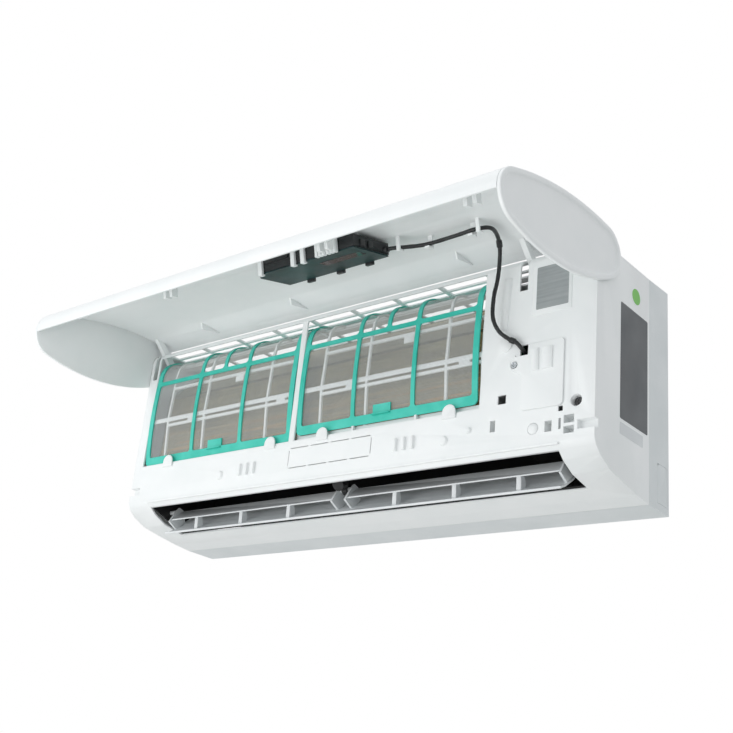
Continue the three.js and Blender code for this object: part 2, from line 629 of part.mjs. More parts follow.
function frontFrame() {
  const outer = alongX(polygon(frameOutline(0)), -HALF_WIDTH, HALF_WIDTH);
  const insideLine = frameOutline(WALL);
  const inside = [
    [SEAM_Y + 20, insideLine[0][1]],
    ...insideLine,
    [SEAM_Y + 20, insideLine[insideLine.length - 1][1]],
  ];
  const hollow = alongX(polygon(inside), -HALF_WIDTH + WALL, HALF_WIDTH - WALL);
  const outlet = alongX(
    polygon([
      [-169, OUTLET_TOP_Z],
      [-FAR, OUTLET_TOP_Z],
      [-FAR, -20],
      [OUTLET_LIP_Y, -20],
      [OUTLET_LIP_Y, 20],
    ]),
    -OUTLET_HALF,
    OUTLET_HALF,
  );
  const rear = block(-FAR, FAR, SEAM_Y - GAP, FAR, -10, FAR);
  const filters = [FILTER_LEFT, FILTER_RIGHT];
  const shell = cut(
    outer,
    hollow,
    outlet,
    rear,
    ...filters.map(windowCutter),
    ...topSlots(),
    ...knockoutCuts(),
    ...HINGE_ARMS.map(armSlot),
  );
  const { width, depth, z0: notchZ0, z1: notchZ1 } = CORNER_NOTCH;
  const notchX = HALF_WIDTH - width;
  const notches = [-1, 1].map((s) =>
    block(...span(s * notchX, s * 2 * FAR), FRONT_Y - 5, FRONT_Y + depth, notchZ0, notchZ1),
  );
  const pockets = [-1, 1].map((s) =>
    block(
      ...span(s * (notchX - 1), s * (HALF_WIDTH - 1)),
      FRONT_Y + 1,
      FRONT_Y + depth + WALL,
      notchZ0 - WALL,
      notchZ1 + WALL,
    ),
  );
  const well = rodY(
    FRAME_SCREW.x,
    FRONT_Y + SCREW_WELL.depth + 2,
    FRONT_Y + 1,
    FRAME_SCREW.z,
    SCREW_WELL.r + SCREW_WELL.wall,
    16,
  );
  const { x0, x1, z0, z1, rise } = LABEL_PLATE;
  const body = join(
    shell,
    ...pockets,
    well,
    ...filters.map(filterGrid),
    ...FILTER_RESTS.map(filterRest),
    ...TABS.map(retainingTab),
    ...LATCHES.map(latchSeat),
    ...DOMES.map(({ x, z, r }) => rod([x, FRONT_Y + 1, z], [x, FRONT_Y - 3, z], r, 12, r * 0.7)),
    block(-344, 341, FRONT_Y - 1.6, FRONT_Y + 1, 38.5, 41),
    block(x0, x1, FRONT_Y - rise, FRONT_Y + 1, z0, z1),
    leadRib(),
    rodY(LEAD_FOOT.x, FRONT_Y + 1, FRONT_Y - LEAD_FOOT.rise, LEAD_FOOT.z, LEAD_FOOT.r, 14),
  );
  const boreX = HALF_WIDTH - 2 * WALL - 1;
  const hinges = [-1, 1].map((s) =>
    rodX(...span(s * boreX, s * 2 * FAR), HINGE.y, HINGE.z, HINGE_PIN_R + HINGE_CLEARANCE),
  );
  const holes = [
    ...RECESSES.map(({ x, z }) => frontHole(x, z)),
    frontHole([LEAD_HOLE.x0, LEAD_HOLE.x1], [LEAD_HOLE.z0, LEAD_HOLE.z1]),
    rodY(BUTTON.x, FRONT_Y - 5, FRONT_Y + 5, BUTTON.z, BUTTON.r + HINGE_CLEARANCE, 12),
    rodY(FRAME_SCREW.x, FRONT_Y - 5, FRONT_Y + SCREW_WELL.depth, FRAME_SCREW.z, SCREW_WELL.r, 16),
    rodY(FRAME_SCREW.x, FRONT_Y, FRONT_Y + 15, FRAME_SCREW.z, FRAME_SCREW.shankR + HINGE_CLEARANCE, 8),
    rodY(COVER_SCREW.x, FRONT_Y - 5, FRONT_Y + 5, COVER_SCREW.z, COVER_SCREW.shankR + HINGE_CLEARANCE, 8),
  ];
  return cut(body, ...notches, ...hinges, ...holes);
}

// A cross-head screw whose head lies on the plane y = seat, with its shank behind it.
function screw({ x, z, headR, shankR, length }, seat) {
  const face = seat - GAP - SCREW_HEAD;
  const head = rodY(x, seat - GAP, face, z, headR, 12);
  const shank = rodY(x, seat - 1, seat + length, z, shankR, 8);
  const half = headR * 0.6;
  const drive = join(
    block(x - half, x + half, face - 1, face + 1, z - 0.6, z + 0.6),
    block(x - 0.6, x + 0.6, face - 1, face + 1, z - half, z + half),
  );
  return cut(join(head, shank), drive);
}

// Cover plate over the terminals, with a lug for its screw and two raised pads.
function wiringCover() {
  const y1 = FRONT_Y - GAP;
  const y0 = y1 - COVER.thickness;
  const { x: lugX, z: lugZ } = COVER_SCREW;
  const outline = polygon([
    [COVER.x0, COVER.z0 + 3],
    [COVER.x0 + 3, COVER.z0],
    [COVER.x1 - 3, COVER.z0],
    [COVER.x1, COVER.z0 + 3],
    [COVER.x1, COVER.z1 - 3],
    [COVER.x1 - 3, COVER.z1],
    [COVER.x0 + 6, COVER.z1],
    [lugX - 6, lugZ + 7],
    [lugX - 6.5, lugZ - 4],
    [lugX - 3, lugZ - 7],
    [COVER.x0, lugZ - 13],
  ]);
  const plate = towardsFront(outline, y1, y0);
  const pads = [[305, 314], [319, 332]].map(([a, b]) => block(a, b, y0 - 2, y1, COVER.z1 - 35, COVER.z1 - 8));
  const leadNotch = block(COVER.x0 - 9, LEAD_HOLE.x1 + 1, y0 - 4, y1 + 2, LEAD_HOLE.z0 - 1, COVER.z1 + 4);
  const screwHole = rodY(lugX, y1 + 2, y0 - 0.8, lugZ, COVER_SCREW.headR + HINGE_CLEARANCE, 14);
  return cut(join(plate, ...pads), leadNotch, screwHole);
}

function manualButton() {
  return join(
    rodY(BUTTON.x, FRONT_Y + WALL + 4, FRONT_Y, BUTTON.z, BUTTON.r, 12),
    rod(
      [BUTTON.x, FRONT_Y, BUTTON.z],
      [BUTTON.x, FRONT_Y - BUTTON.rise, BUTTON.z],
      BUTTON.r,
      12,
      BUTTON.r * 0.7,
    ),
    rodY(BUTTON.x, FRONT_Y + WALL + GAP + 2, FRONT_Y + WALL + GAP, BUTTON.z, BUTTON.r + 2, 12),
  );
}

// ---------------------------------------------------------------- air path
function airDuct() {
  const scroll = alongX(sheet(scrollLine(), 0, 2), -DUCT_HALF, DUCT_HALF);
  const roofLine = [[-173, 37], [ROOF_FRONT.y, ROOF_FRONT.z], [ROOF_NOSE.y, ROOF_NOSE.z]];
  const roof = alongX(sheet(roofLine, 0, 2), -DUCT_HALF, DUCT_HALF);
  const endShape = polygon([
    ...beside(scrollLine(), 1),
    ...roofLine.map(([y, z]) => [y + 0.5, z + 0.5]),
    [-136, 104],
    [-137, 130],
    [-122, 158],
    [-100, 172],
  ]);
  const ends = [-1, 1].map((s) => {
    const a = s * (DUCT_HALF - 2);
    const b = s * DUCT_HALF;
    return alongX(endShape, Math.min(a, b), Math.max(a, b));
  });
  const partition = alongX(endShape, PARTITION_X, PARTITION_X + 2);
  const underMotor = FAN.z - MOTOR.r - 6;
  const floorLine = [
    [ROOF_NOSE.y - 2, ROOF_NOSE.z + 0.5],
    [FAN.y, underMotor],
    [scrollY(underMotor - 5) + 1, underMotor - 5],
  ];
  const chamberFloor = alongX(sheet(floorLine, -1, 1), PARTITION_X + 1, DUCT_HALF);
  const mouthOpen = alongX(
    polygon([
      [-180, 30],
      [-175, 52],
      [ROOF_NOSE.y - 2, ROOF_NOSE.z + 2],
      [FAN.y, underMotor],
      [-40, underMotor - 6],
      [-60, 20],
      [-107, 0],
    ]),
    PARTITION_X - 1,
    PARTITION_X + 3,
  );
  const leftLug = join(
    block(-DUCT_HALF - 12, -DUCT_HALF + 1, -135.5, -131, COIL_LUG.z0, COIL_LUG.z1),
    block(-DUCT_HALF - 12, COIL_X0 - COIL_PLATE - 2 * GAP, COIL_LUG.y0, -131, COIL_LUG.z0, COIL_LUG.z1),
  );
  const rightLug = block(
    COIL_X1 + COIL_PLATE + 2 * GAP,
    PARTITION_X + 1,
    COIL_LUG.y0,
    -131,
    COIL_LUG.z0,
    COIL_LUG.z1,
  );
  const bores = [
    rodX(-FAR, -DUCT_HALF + 4, LOUVER_PIVOT.y, LOUVER_PIVOT.z, LOUVER_PIN_R + HINGE_CLEARANCE),
    rodX(DUCT_HALF - 4, FAR, LOUVER_PIVOT.y, LOUVER_PIVOT.z, LOUVER_PIN_R + HINGE_CLEARANCE),
    rodX(-FAR, -DUCT_HALF + 4, FAN.y, FAN.z, BEARING_R + GAP, 16),
    rodX(PARTITION_X - 2, PARTITION_X + 4, FAN.y, FAN.z, SHAFT_R + 4, 12),
  ];
  const vaneHoles = vanePositions().map(({ x }) => roofRod(x, VANE_U, -4, 2, VANE_PIN_R + VANE_CLEARANCE, 6));
  const walls = join(scroll, roof, ...ends, cut(partition, mouthOpen), chamberFloor, leftLug, rightLug);
  return cut(walls, ...bores, ...vaneHoles);
}

function fanBearing() {
  const seat = rodX(-DUCT_HALF - 3, FAN.x0 - 3, FAN.y, FAN.z, BEARING_R, 16);
  const flange = rodX(-DUCT_HALF - 3, -DUCT_HALF - GAP, FAN.y, FAN.z, BEARING_R + 4, 16);
  return cut(join(seat, flange), rodX(-FAR, FAR, FAN.y, FAN.z, SHAFT_R + HINGE_CLEARANCE, 12));
}

function crossFlowFan() {
  const length = FAN.x1 - FAN.x0;
  const disc = 3;
  const blade = new THREE.Shape();
  const inner = FAN.r - 11;
  blade.moveTo(inner, 0);
  blade.lineTo(FAN.r - 1, 7);
  blade.lineTo(FAN.r - 0.6, 8.6);
  blade.lineTo(inner - 0.4, 1.6);
  const blades = [];
  for (let i = 0; i < FAN_BLADES; i++) {
    const turned = alongX(blade, FAN.x0 + 1, FAN.x1 - 1).rotate([(i * 360) / FAN_BLADES, 0, 0]);
    blades.push(turned.translate([0, FAN.y, FAN.z]));
  }
  const rings = [];
  for (let i = 0; i < FAN_RINGS; i++) {
    const x = FAN.x0 + (length * (i + 1)) / (FAN_RINGS + 1);
    const ring = new THREE.Shape();
    ring.absarc(FAN.y, FAN.z, FAN.r - 0.3, 0, 2 * Math.PI);
    const hole = new THREE.Path();
    hole.absarc(FAN.y, FAN.z, FAN.r - 13, 0, 2 * Math.PI, true);
    ring.holes.push(hole);
    rings.push(alongX(ring, x - disc / 2, x + disc / 2, 8));
  }
  const ends = [
    rodX(FAN.x0, FAN.x0 + disc, FAN.y, FAN.z, FAN.r, 20),
    rodX(FAN.x1 - disc, FAN.x1, FAN.y, FAN.z, FAN.r, 20),
    rodX(FAN.x1 - 20, FAN.x1, FAN.y, FAN.z, 12, 12),
    rodX(-DUCT_HALF - 2, FAN.x0 + 1, FAN.y, FAN.z, SHAFT_R, 12),
  ];
  const socket = rodX(FAN.x1 - 15, FAN.x1 + 5, FAN.y, FAN.z, SHAFT_R + GAP, 12);
  return cut(join(...blades, ...rings, ...ends), socket);
}

function fanMotor() {
  const profile = [
    [0, MOTOR.x0],
    [MOTOR.r - 6, MOTOR.x0],
    [MOTOR.r, MOTOR.x0 + 6],
    [MOTOR.r, MOTOR.x1 - 6],
    [MOTOR.r - 6, MOTOR.x1],
    [0, MOTOR.x1],
  ].map(([r, x]) => new THREE.Vector2(r, x));
  const g = new THREE.LatheGeometry(profile, 16);
  g.rotateZ(-Math.PI / 2);
  g.translate(0, FAN.y, FAN.z);
  const hubs = [
    rodX(MOTOR.x0 - 5, MOTOR.x0 + 1, FAN.y, FAN.z, 12, 12),
    rodX(MOTOR.x1 - 1, MOTOR.x1 + 6, FAN.y, FAN.z, 12, 12),
    rodX(FAN.x1 - 14, MOTOR.x0, FAN.y, FAN.z, SHAFT_R, 12),
  ];
  return join(solid(g), ...hubs);
}

// Strap across the motor, screwed to posts on the duct.
function motorClamp() {
  const line = [];
  const r = MOTOR.r + 3 * GAP;
  for (let i = 0; i <= 10; i++) {
    const angle = rad(20 + (i * 160) / 10);
    line.push([FAN.y + r * Math.cos(angle), FAN.z + r * Math.sin(angle)]);
  }
  const strap = alongX(sheet(line, -3, 0), MOTOR.x0 + 20, MOTOR.x0 + 44);
  const foot = alongX(
    polygon([
      [FAN.y - r - 3, FAN.z + 2],
      [FAN.y - r, FAN.z + 2],
      [FAN.y - r, FAN.z - 26],
      [FAN.y - r - 3, FAN.z - 26],
    ]),
    MOTOR.x0 + 20,
    MOTOR.x0 + 44,
  );
  return join(strap, foot);
}

function drainPan() {
  const line = [[-170, 92.5], [-170, 84], [-150, 81], [-134, 92], [-134, 97]];
  const trough = alongX(sheet(line, 0, 2), -356, 238);
  const ends = [-356, 236].map((x) =>
    alongX(polygon([[-170, 92], [-170, 84], [-150, 81.5], [-134, 92.5], [-134, 96]]), x, x + 2),
  );
  const rest = [[28, 2 + GAP], [46, 2 + GAP]].map(([u, w]) => roofPoint(u, -w));
  const feet = PAN_FEET.map((x) => alongX(polygon([...rest, [-136, 91.5], [-146, 84.5]]), x - 1, x + 1));
  return join(trough, ...ends, ...feet);
}

// ---------------------------------------------------------------- heat exchanger
const coilBlock = (outline) => alongX(polygon(outline), COIL_X0, COIL_X1);

function coilPlate(x, side) {
  const inner = x;
  const outer = x + side * COIL_PLATE;
  const shape = polygon([
    [-167, 100],
    [-141, 100],
    [-137, 198],
    [-92, 241],
    [-51, 184],
    [-26, 193],
    [-96, 269],
    [-106, 269],
    [-164, 212],
  ]);
  const plate = alongX(shape, Math.min(inner, outer), Math.max(inner, outer));
  const bends = [
    [[-155, 114], [-154, 139]],
    [[-153, 160], [-151, 185]],
    [[-146, 212], [-132, 225]],
    [[-122, 235], [-108, 248]],
    [[-80, 233], [-63, 209]],
  ];
  const hairpins = bends.map(([a, b]) => hairpin(outer, side, a, b));
  return join(plate, ...hairpins);
}

// A return bend that joins two tube ends on the outside of an end plate.
function hairpin(x, side, a, b) {
  const start = new THREE.Vector3(x - side, ...a);
  const end = new THREE.Vector3(x - side, ...b);
  const reach = new THREE.Vector3(side * 12, 0, 0);
  const curve = new THREE.CubicBezierCurve3(start, start.clone().add(reach), end.clone().add(reach), end);
  const section = new THREE.Shape();
  for (let i = 0; i < BEND_SIDES; i++) {
    const angle = (i * 2 * Math.PI) / BEND_SIDES;
    const [p, q] = [BEND_R * Math.cos(angle), BEND_R * Math.sin(angle)];
    if (i) section.lineTo(p, q);
    else section.moveTo(p, q);
  }
  return solid(new THREE.ExtrudeGeometry(section, { steps: 3, extrudePath: curve }));
}

// ---------------------------------------------------------------- electrics
function controlBox() {
  const outer = block(BOX.x0, BOX.x1, BOX.y0, BOX.y1, BOX.z0, BOX.z1);
  const inner = block(
    BOX.x0 + 2,
    BOX.x1 - 2,
    BOX.y0 - 2,
    BOX.y1 - 2,
    BOX.z0 + 2,
    BOX.z1 - 2,
  );
  const posts = [
    [262, 176],
    [262, 236],
    [358, 176],
    [358, 236],
  ].map(([x, z]) => rodY(x, BOX.y1 - 1, BOARD_Y + GAP, z, 3, 10));
  return join(cut(outer, inner), ...posts);
}

function controlBoard() {
  const board = block(252, 368, BOARD_Y - 1.6, BOARD_Y, 166, 244);
  const parts = [
    block(262, 286, BOARD_Y - 16, BOARD_Y - 1, 205, 232),
    rodY(310, BOARD_Y - 1, BOARD_Y - 19, 220, 9, 12),
    block(330, 360, BOARD_Y - 14, BOARD_Y - 1, 196, 214),
    block(290, 305, BOARD_Y - 10, BOARD_Y - 1, 172, 182),
  ];
  return join(board, ...parts);
}

function terminalBlock() {
  const base = block(292, 344, -162, BOX.y1 - 2 - GAP, 100, 124);
  const slots = [0, 1, 2, 3].map((i) => block(296 + i * 12, 304 + i * 12, -164, -150, 104, 120));
  return cut(base, ...slots);
}

const LEAD_POINTS = [
  [DISPLAY.x1 + GLAND.length + 4 * GAP, -278, 281.9],
  [163, -275.5, 282.3],
  [176, -268.5, 283.5],
  [196, -259, 286],
  [240, -258.5, 286.5],
  [270, -259, 287],
  [281, -250, 290],
  [277, -229, 293.5],
  [268, -207, 288],
  [262, -197, 268],
  [259, -195, 250],
  [256, -196, 229],
  [257, -196, 200],
  [263, -191, 185],
  [274, -187.5, 175],
  [285, -187, 168],
  [290.5, -184, 161],
  [291, -175, 158],
  [291, -166, 157],
];

const displayLead = () => tube(LEAD_POINTS, LEAD_R, 8, 30);

// ---------------------------------------------------------------- louver and vanes
function louver() {
  const blade = alongX(
    sheet([[-172.6, 30.2], [-164, 24.8], [-146, 17.2], [-126, 12.2], [-112.5, 10.4]], 0, 2.2),
    -LOUVER_HALF,
    LOUVER_HALF,
  );
  const edges = [
    rodX(-LOUVER_HALF, LOUVER_HALF, -171.8, 31.2, 1.6, 8),
    rodX(-LOUVER_HALF, LOUVER_HALF, -113.4, 11.6, 1.4, 8),
  ];
  const guideLine = [[-153, 38], [-141, 34.5], [-129, 31]];
  const guides = [
    alongX(sheet(guideLine, 0, 1.8), -LOUVER_HALF + 4, -12),
    alongX(sheet(guideLine, 0, 1.8), 12, LOUVER_HALF - 4),
  ];
  const ribShape = polygon([[-153, 38.5], [-146, 36.5], [-150, 29], [-157, 22.5], [-168, 28]]);
  const ribs = LOUVER_RIBS.map((x) => alongX(ribShape, x - 3, x + 3));
  const armShape = polygon([[-156, 22], [-157, 40], [-137, 41], [-128, 40], [-126, 32], [-136, 18]]);
  const arms = [-LOUVER_HALF + 1, LOUVER_HALF - 4, -13, 10].map((x) => alongX(armShape, x, x + 3));
  const pins = [
    rodX(-DUCT_HALF - 1, -LOUVER_HALF + 3, LOUVER_PIVOT.y, LOUVER_PIVOT.z, LOUVER_PIN_R),
    rodX(LOUVER_HALF - 3, DUCT_HALF + 1, LOUVER_PIVOT.y, LOUVER_PIVOT.z, LOUVER_PIN_R),
    rodX(-11, 11, LOUVER_PIVOT.y, LOUVER_PIVOT.z, LOUVER_PIN_R),
  ];
  return join(blade, ...edges, ...guides, ...ribs, ...arms, ...pins);
}

function louverSupport() {
  const [rootY, rootZ] = roofPoint(14, GAP);
  const arm = alongX(
    polygon([
      [rootY - 8, rootZ - 7],
      [rootY + 6, rootZ + 5],
      [LOUVER_PIVOT.y + 5, LOUVER_PIVOT.z + 4],
      [LOUVER_PIVOT.y - 5, LOUVER_PIVOT.z - 2],
    ]),
    -4,
    4,
  );
  const eye = rodX(-4, 4, LOUVER_PIVOT.y, LOUVER_PIVOT.z, 7, 14);
  const face = rod([0, -142, 44], [0, -152, 38], 9, 16);
  const bore = rodX(-9, 9, LOUVER_PIVOT.y, LOUVER_PIVOT.z, LOUVER_PIN_R + HINGE_CLEARANCE);
  return cut(join(arm, eye, face), bore);
}

function louverMotor() {
  const x0 = DUCT_HALF + 2;
  const can = rodX(x0, x0 + 16, LOUVER_PIVOT.y, LOUVER_PIVOT.z, 14, 16);
  const ears = alongX(
    polygon([
      [LOUVER_PIVOT.y - 19, LOUVER_PIVOT.z - 6],
      [LOUVER_PIVOT.y + 19, LOUVER_PIVOT.z - 6],
      [LOUVER_PIVOT.y + 19, LOUVER_PIVOT.z + 6],
      [LOUVER_PIVOT.y - 19, LOUVER_PIVOT.z + 6],
    ]),
    DUCT_HALF + GAP,
    x0 + 1,
  );
  const bore = rodX(DUCT_HALF - 5, DUCT_HALF + 3, LOUVER_PIVOT.y, LOUVER_PIVOT.z, LOUVER_PIN_R + 1);
  return cut(join(can, ears), bore);
}

function vanePositions() {
  return VANE_BANKS.flatMap((bank) =>
    Array.from({ length: VANES_PER_BANK }, (_, i) => ({
      name: "vane_" + bank.name + "_" + (i + 1),
      x: bank.x0 + i * VANE_PITCH,
    })),
  );
}

function vane(x) {
  const leaf = polygon(
    [
      [34, 1],
      [54, 1],
      [55, 28],
      [50, 31],
      [39, 30],
      [34, 22],
      [34, 10.5],
      [27, 10.5],
      [27, 7.5],
      [34, 7.5],
    ].map(([u, w]) => roofPoint(u, w)),
  );
  const blade = alongX(leaf, x - VANE_THICKNESS / 2, x + VANE_THICKNESS / 2);
  const pivot = roofRod(x, VANE_U, -3, 2, VANE_PIN_R, 6);
  const linkPin = roofRod(x, LINK_U, 3, 9, 1.1, 6);
  return join(blade, pivot, linkPin);
}

function vaneLink(bank) {
  const x1 = bank.x0 + (VANES_PER_BANK - 1) * VANE_PITCH;
  const strip = alongX(
    polygon([[26, 4], [32, 4], [32, 6.5], [26, 6.5]].map(([u, w]) => roofPoint(u, w))),
    bank.x0 - 5,
    x1 + 5,
  );
  const holes = Array.from({ length: VANES_PER_BANK }, (_, i) =>
    roofRod(bank.x0 + i * VANE_PITCH, LINK_U, 2, 9, 1.1 + VANE_CLEARANCE, 6),
  );
  return cut(strip, ...holes);
}

// ---------------------------------------------------------------- filters
function filterFrame(filter) {
  const line = filterLine(filter.bottom);
  const total = lineLength(line);
  const { x0, x1 } = filter;
  const foot = FILTER_FOOT / total;
  const bar = FILTER_BAR / total;
  const top = 1 - FILTER_BORDER / total;
  const third = (x1 - x0) / 3;
  const inner = third - FILTER_BORDER - FILTER_BAR / 2;
  const thirds = [
    [x0 + FILTER_BORDER, x0 + FILTER_BORDER + inner],
    [x0 + third + FILTER_BAR / 2, x1 - third - FILTER_BAR / 2],
    [x1 - FILTER_BORDER - inner, x1 - FILTER_BORDER],
  ];
  const middle = (x0 + x1) / 2;
  const halves = [
    [thirds[1][0], middle - FILTER_BAR / 2],
    [middle + FILTER_BAR / 2, thirds[1][1]],
  ];
  const lower = thirds.map((x) => ({ x, s: [foot, FILTER_BAR_AT] }));
  const upper = [thirds[0], ...halves, thirds[2]].map((x) => ({ x, s: [FILTER_BAR_AT + bar, top] }));
  const frame = lattice(line, 0, -FILTER_THICKNESS, x0, x1, [...lower, ...upper]);
  const [tabY, tabZ] = stretchOf(line, FILTER_FOOT, FILTER_FOOT + 1)[0];
  const { half, rise, reach } = FINGER_TAB;
  const tab = block(middle - half, middle + half, tabY - reach, tabY + 1, tabZ - 3, tabZ - 1);
  const tongue = sheet(stretchOf(line, FILTER_FOOT - 4, FILTER_FOOT + rise), 0, -FILTER_THICKNESS);
  return join(frame, tab, alongX(tongue, middle - half, middle + half));
}

function filterMesh(filter) {
  const line = filterLine(filter.bottom);
  const total = lineLength(line);
  const near = FILTER_THICKNESS + GAP;
  const section = sheet(stretchOf(line, 4, total - 4), -near, -near - MESH_THICKNESS);
  return alongX(section, filter.x0 + 4, filter.x1 - 4);
}

// ---------------------------------------------------------------- front panel (drawn closed)
function frontPanel() {
  const end = CAP_INNER_X - GAP;
  const skin = alongX(skinSection(), -end, end, 5);
  const prong = (x, z) => {
    const y = skinInnerY(z);
    return block(x - 2.5, x + 2.5, y - 1, y + 24, z - 5, z + 5);
  };
  const latches = LATCHES.flatMap((x) => LATCH_PRONGS.map((dx) => x + dx));
  const prongs = [...latches, 328, 340].map((x) => prong(x, LATCH_Z));
  const hooks = [-352, -338].map((x) => block(x - 3, x + 3, skinInnerY(80) - 1, skinInnerY(80) + 9, 76, 84));
  const seats = [DISPLAY.x0 + 12, DISPLAY.x1 - 12].flatMap((x) =>
    [DISPLAY.z0 + 20, DISPLAY.z1 - 8].map((z) =>
      rodY(x, skinInnerY(z) - 1, displayBackY() - GAP, z, 3.5, 8),
    ),
  );
  const grips = [DISPLAY.x0 + 16, 56, 72].map((x) => {
    const face = displayBackY() + DISPLAY.depth + GAP;
    const y = skinInnerY(DISPLAY.z0);
    return join(
      block(x - 3, x + 3, y - 1, face + 2, DISPLAY.z0 - 4, DISPLAY.z0 - GAP),
      block(x - 3, x + 3, face, face + 2, DISPLAY.z0 - 2, DISPLAY.z0 + 2),
    );
  });
  const ribs = [-260, -80, 200, 300].map((x) => {
    const line = [];
    for (let z = 230; z <= 270; z += 10) line.push([skinInnerY(z) - 1, z]);
    return alongX(polygon([...line, [FRONT_Y - 3, 264], [FRONT_Y - 5, 232]]), x - 1, x + 1);
  });
  const clips = [200, 262].map((x) => {
    const y = skinInnerY(176);
    const post = block(x - 3, x + 3, y - 1, -189.4, 177, 180);
    return join(post, block(x - 3, x + 3, -191.9, -189.4, 169, 179.5));
  });
  return join(skin, ...prongs, ...hooks, ...seats, ...grips, ...ribs, ...clips, ...HINGE_ARMS.map(hingeArm));
}

// Arm from the skin to a boss on the hinge line.
function hingeArm({ x0, x1 }) {
  const root = 240;
  const blade = polygon([
    [HINGE.y - 3, HINGE.z + 4.5],
    [skinInnerY(root + 14) - 1, root + 14],
    [skinInnerY(root) - 1, root],
    [HINGE.y + 3.5, HINGE.z - 4.5],
  ]);
  return join(alongX(blade, x0, x1), rodX(x0, x1, HINGE.y, HINGE.z, ARM_BOSS_R, 14));
}

// Rings of equal length joined into one closed skin, flat at both ends.
function loft(rings) {
  const count = rings[0].length;
  const positions = rings.flat().flatMap((v) => v.toArray());
  const index = [];
  for (let k = 0; k + 1 < rings.length; k++) {
    for (let i = 0; i < count; i++) {
      const a = k * count + i;
      const b = k * count + ((i + 1) % count);
      index.push(a, b, b + count, a, b + count, a + count);
    }
  }
  const flat = (ring) => ring.map((v) => new THREE.Vector2(v.y, v.z));
  for (const [a, b, c] of THREE.ShapeUtils.triangulateShape(flat(rings[0]), [])) index.push(a, c, b);
  const last = (rings.length - 1) * count;
  for (const [a, b, c] of THREE.ShapeUtils.triangulateShape(flat(rings[rings.length - 1]), [])) {
    index.push(last + a, last + b, last + c);
  }
  const g = new THREE.BufferGeometry();
  g.setAttribute("position", new THREE.Float32BufferAttribute(positions, 3));
  g.setIndex(index);
  return solid(g);
}

// Leaf-shaped end of the panel: a rounded rim round a dished face, with the hinge pin inside.
function endCap(side) {
  const ring = (inset, x) => leafPoints(inset).map(([y, z]) => new THREE.Vector3(x, y, z));
  const x0 = CAP_INNER_X;
  const x1 = CAP_INNER_X + CAP_THICKNESS;
  const body = loft([
    ring(0, x0),
    ring(0, x1 - 1.4),
    ring(1.4, x1),
    ring(CAP_RIM, x1),
    ring(CAP_RIM + 2, x1 - 1.8),
  ]);
  const pin = rodX(HALF_WIDTH - WALL - END_PIN_LENGTH, x0 + 1, HINGE.y, HINGE.z, HINGE_PIN_R);
  const cap = join(body, pin);
  return side > 0 ? cap : cap.mirror([1, 0, 0]);
}

// Back of the display module, just clear of the skin's inner face.
const displayBackY = () => skinInnerY((DISPLAY.z0 + DISPLAY.z1) / 2) + 5;

const displayOutline = (inset) =>
  polygon([
    [DISPLAY.x0 + inset, DISPLAY.z0 + 12 + inset],
    [DISPLAY.x0 + 12 + inset, DISPLAY.z0 + inset],
    [DISPLAY.x1 - inset, DISPLAY.z0 + inset],
    [DISPLAY.x1 - inset, DISPLAY.z1 - inset],
    [DISPLAY.x0 + inset, DISPLAY.z1 - inset],
  ]);

function displayHousing() {
  const y0 = displayBackY();
  const { x0, x1, z0, z1 } = DISPLAY;
  const tray = towardsFront(displayOutline(0), y0 + DISPLAY.depth - DISPLAY_COVER - GAP, y0);
  const pocket = block(x0 + 12, x1 - 3, y0 + 3, y0 + DISPLAY.depth, z0 + 14, z1 - 3);
  const flange = block(x0 + 24, x0 + 62, y0 + 2, y0 + 6, z0 - 3.5, z0 + 1);
  const tabs = [x0 + 44, x0 + 80, x0 + 114].map((x) =>
    block(x, x + 10, y0 + 6, y0 + 12, z1 - 1, z1 + 4),
  );
  const gland = rodX(x1 - 1, x1 + GLAND.length, y0 + GLAND.y, GLAND.z, GLAND.r, 10);
  return join(cut(tray, pocket), flange, ...tabs, gland);
}

function displayCover() {
  const y1 = displayBackY() + DISPLAY.depth;
  return towardsFront(displayOutline(0.6), y1, y1 - DISPLAY_COVER);
}

// ---------------------------------------------------------------- assembly
const PLASTIC = { roughness: 0.45, metalness: 0 };
const WHITE = { color: "#eef0ee", ...PLASTIC };
const CASING = { color: "#e4e7e6", ...PLASTIC };
const BLACK = { color: "#1c1d1f", ...PLASTIC };
const TURQUOISE = { color: "#5fd6c8", ...PLASTIC };
const STEEL = { color: "#b9bcbe", roughness: 0.4, metalness: 0.9 };
const FINS = { color: "#9a9684", roughness: 0.5, metalness: 0.7 };

function piece(parent, name, body, look) {
  const mesh = body.getMesh();
  const g = new THREE.BufferGeometry();
  const positions = new Float32Array(mesh.numVert * 3);
  for (let i = 0; i < mesh.numVert; i++) {
    positions.set(mesh.vertProperties.subarray(i * mesh.numProp, i * mesh.numProp + 3), i * 3);
  }
  g.setAttribute("position", new THREE.BufferAttribute(positions, 3));
  g.setIndex(new THREE.BufferAttribute(new Uint32Array(mesh.triVerts), 1));
  const node = new THREE.Mesh(g, new THREE.MeshStandardMaterial({ flatShading: true, ...look }));
  node.name = name;
  parent.add(node);
  return node;
}

// A group whose pieces are drawn in unit coordinates and turned about an X axis through (y, z).
function turned(parent, pivot, degrees) {
  const outer = new THREE.Group();
  outer.position.set(0, pivot.y, pivot.z);
  outer.rotation.x = rad(degrees);
  const inner = new THREE.Group();
  inner.position.set(0, -pivot.y, -pivot.z);
  outer.add(inner);
  parent.add(outer);
  return inner;
}

const model = new THREE.Group();
const unit = new THREE.Group();
unit.position.z = -PLATE_CENTRE_Z;
model.add(unit);

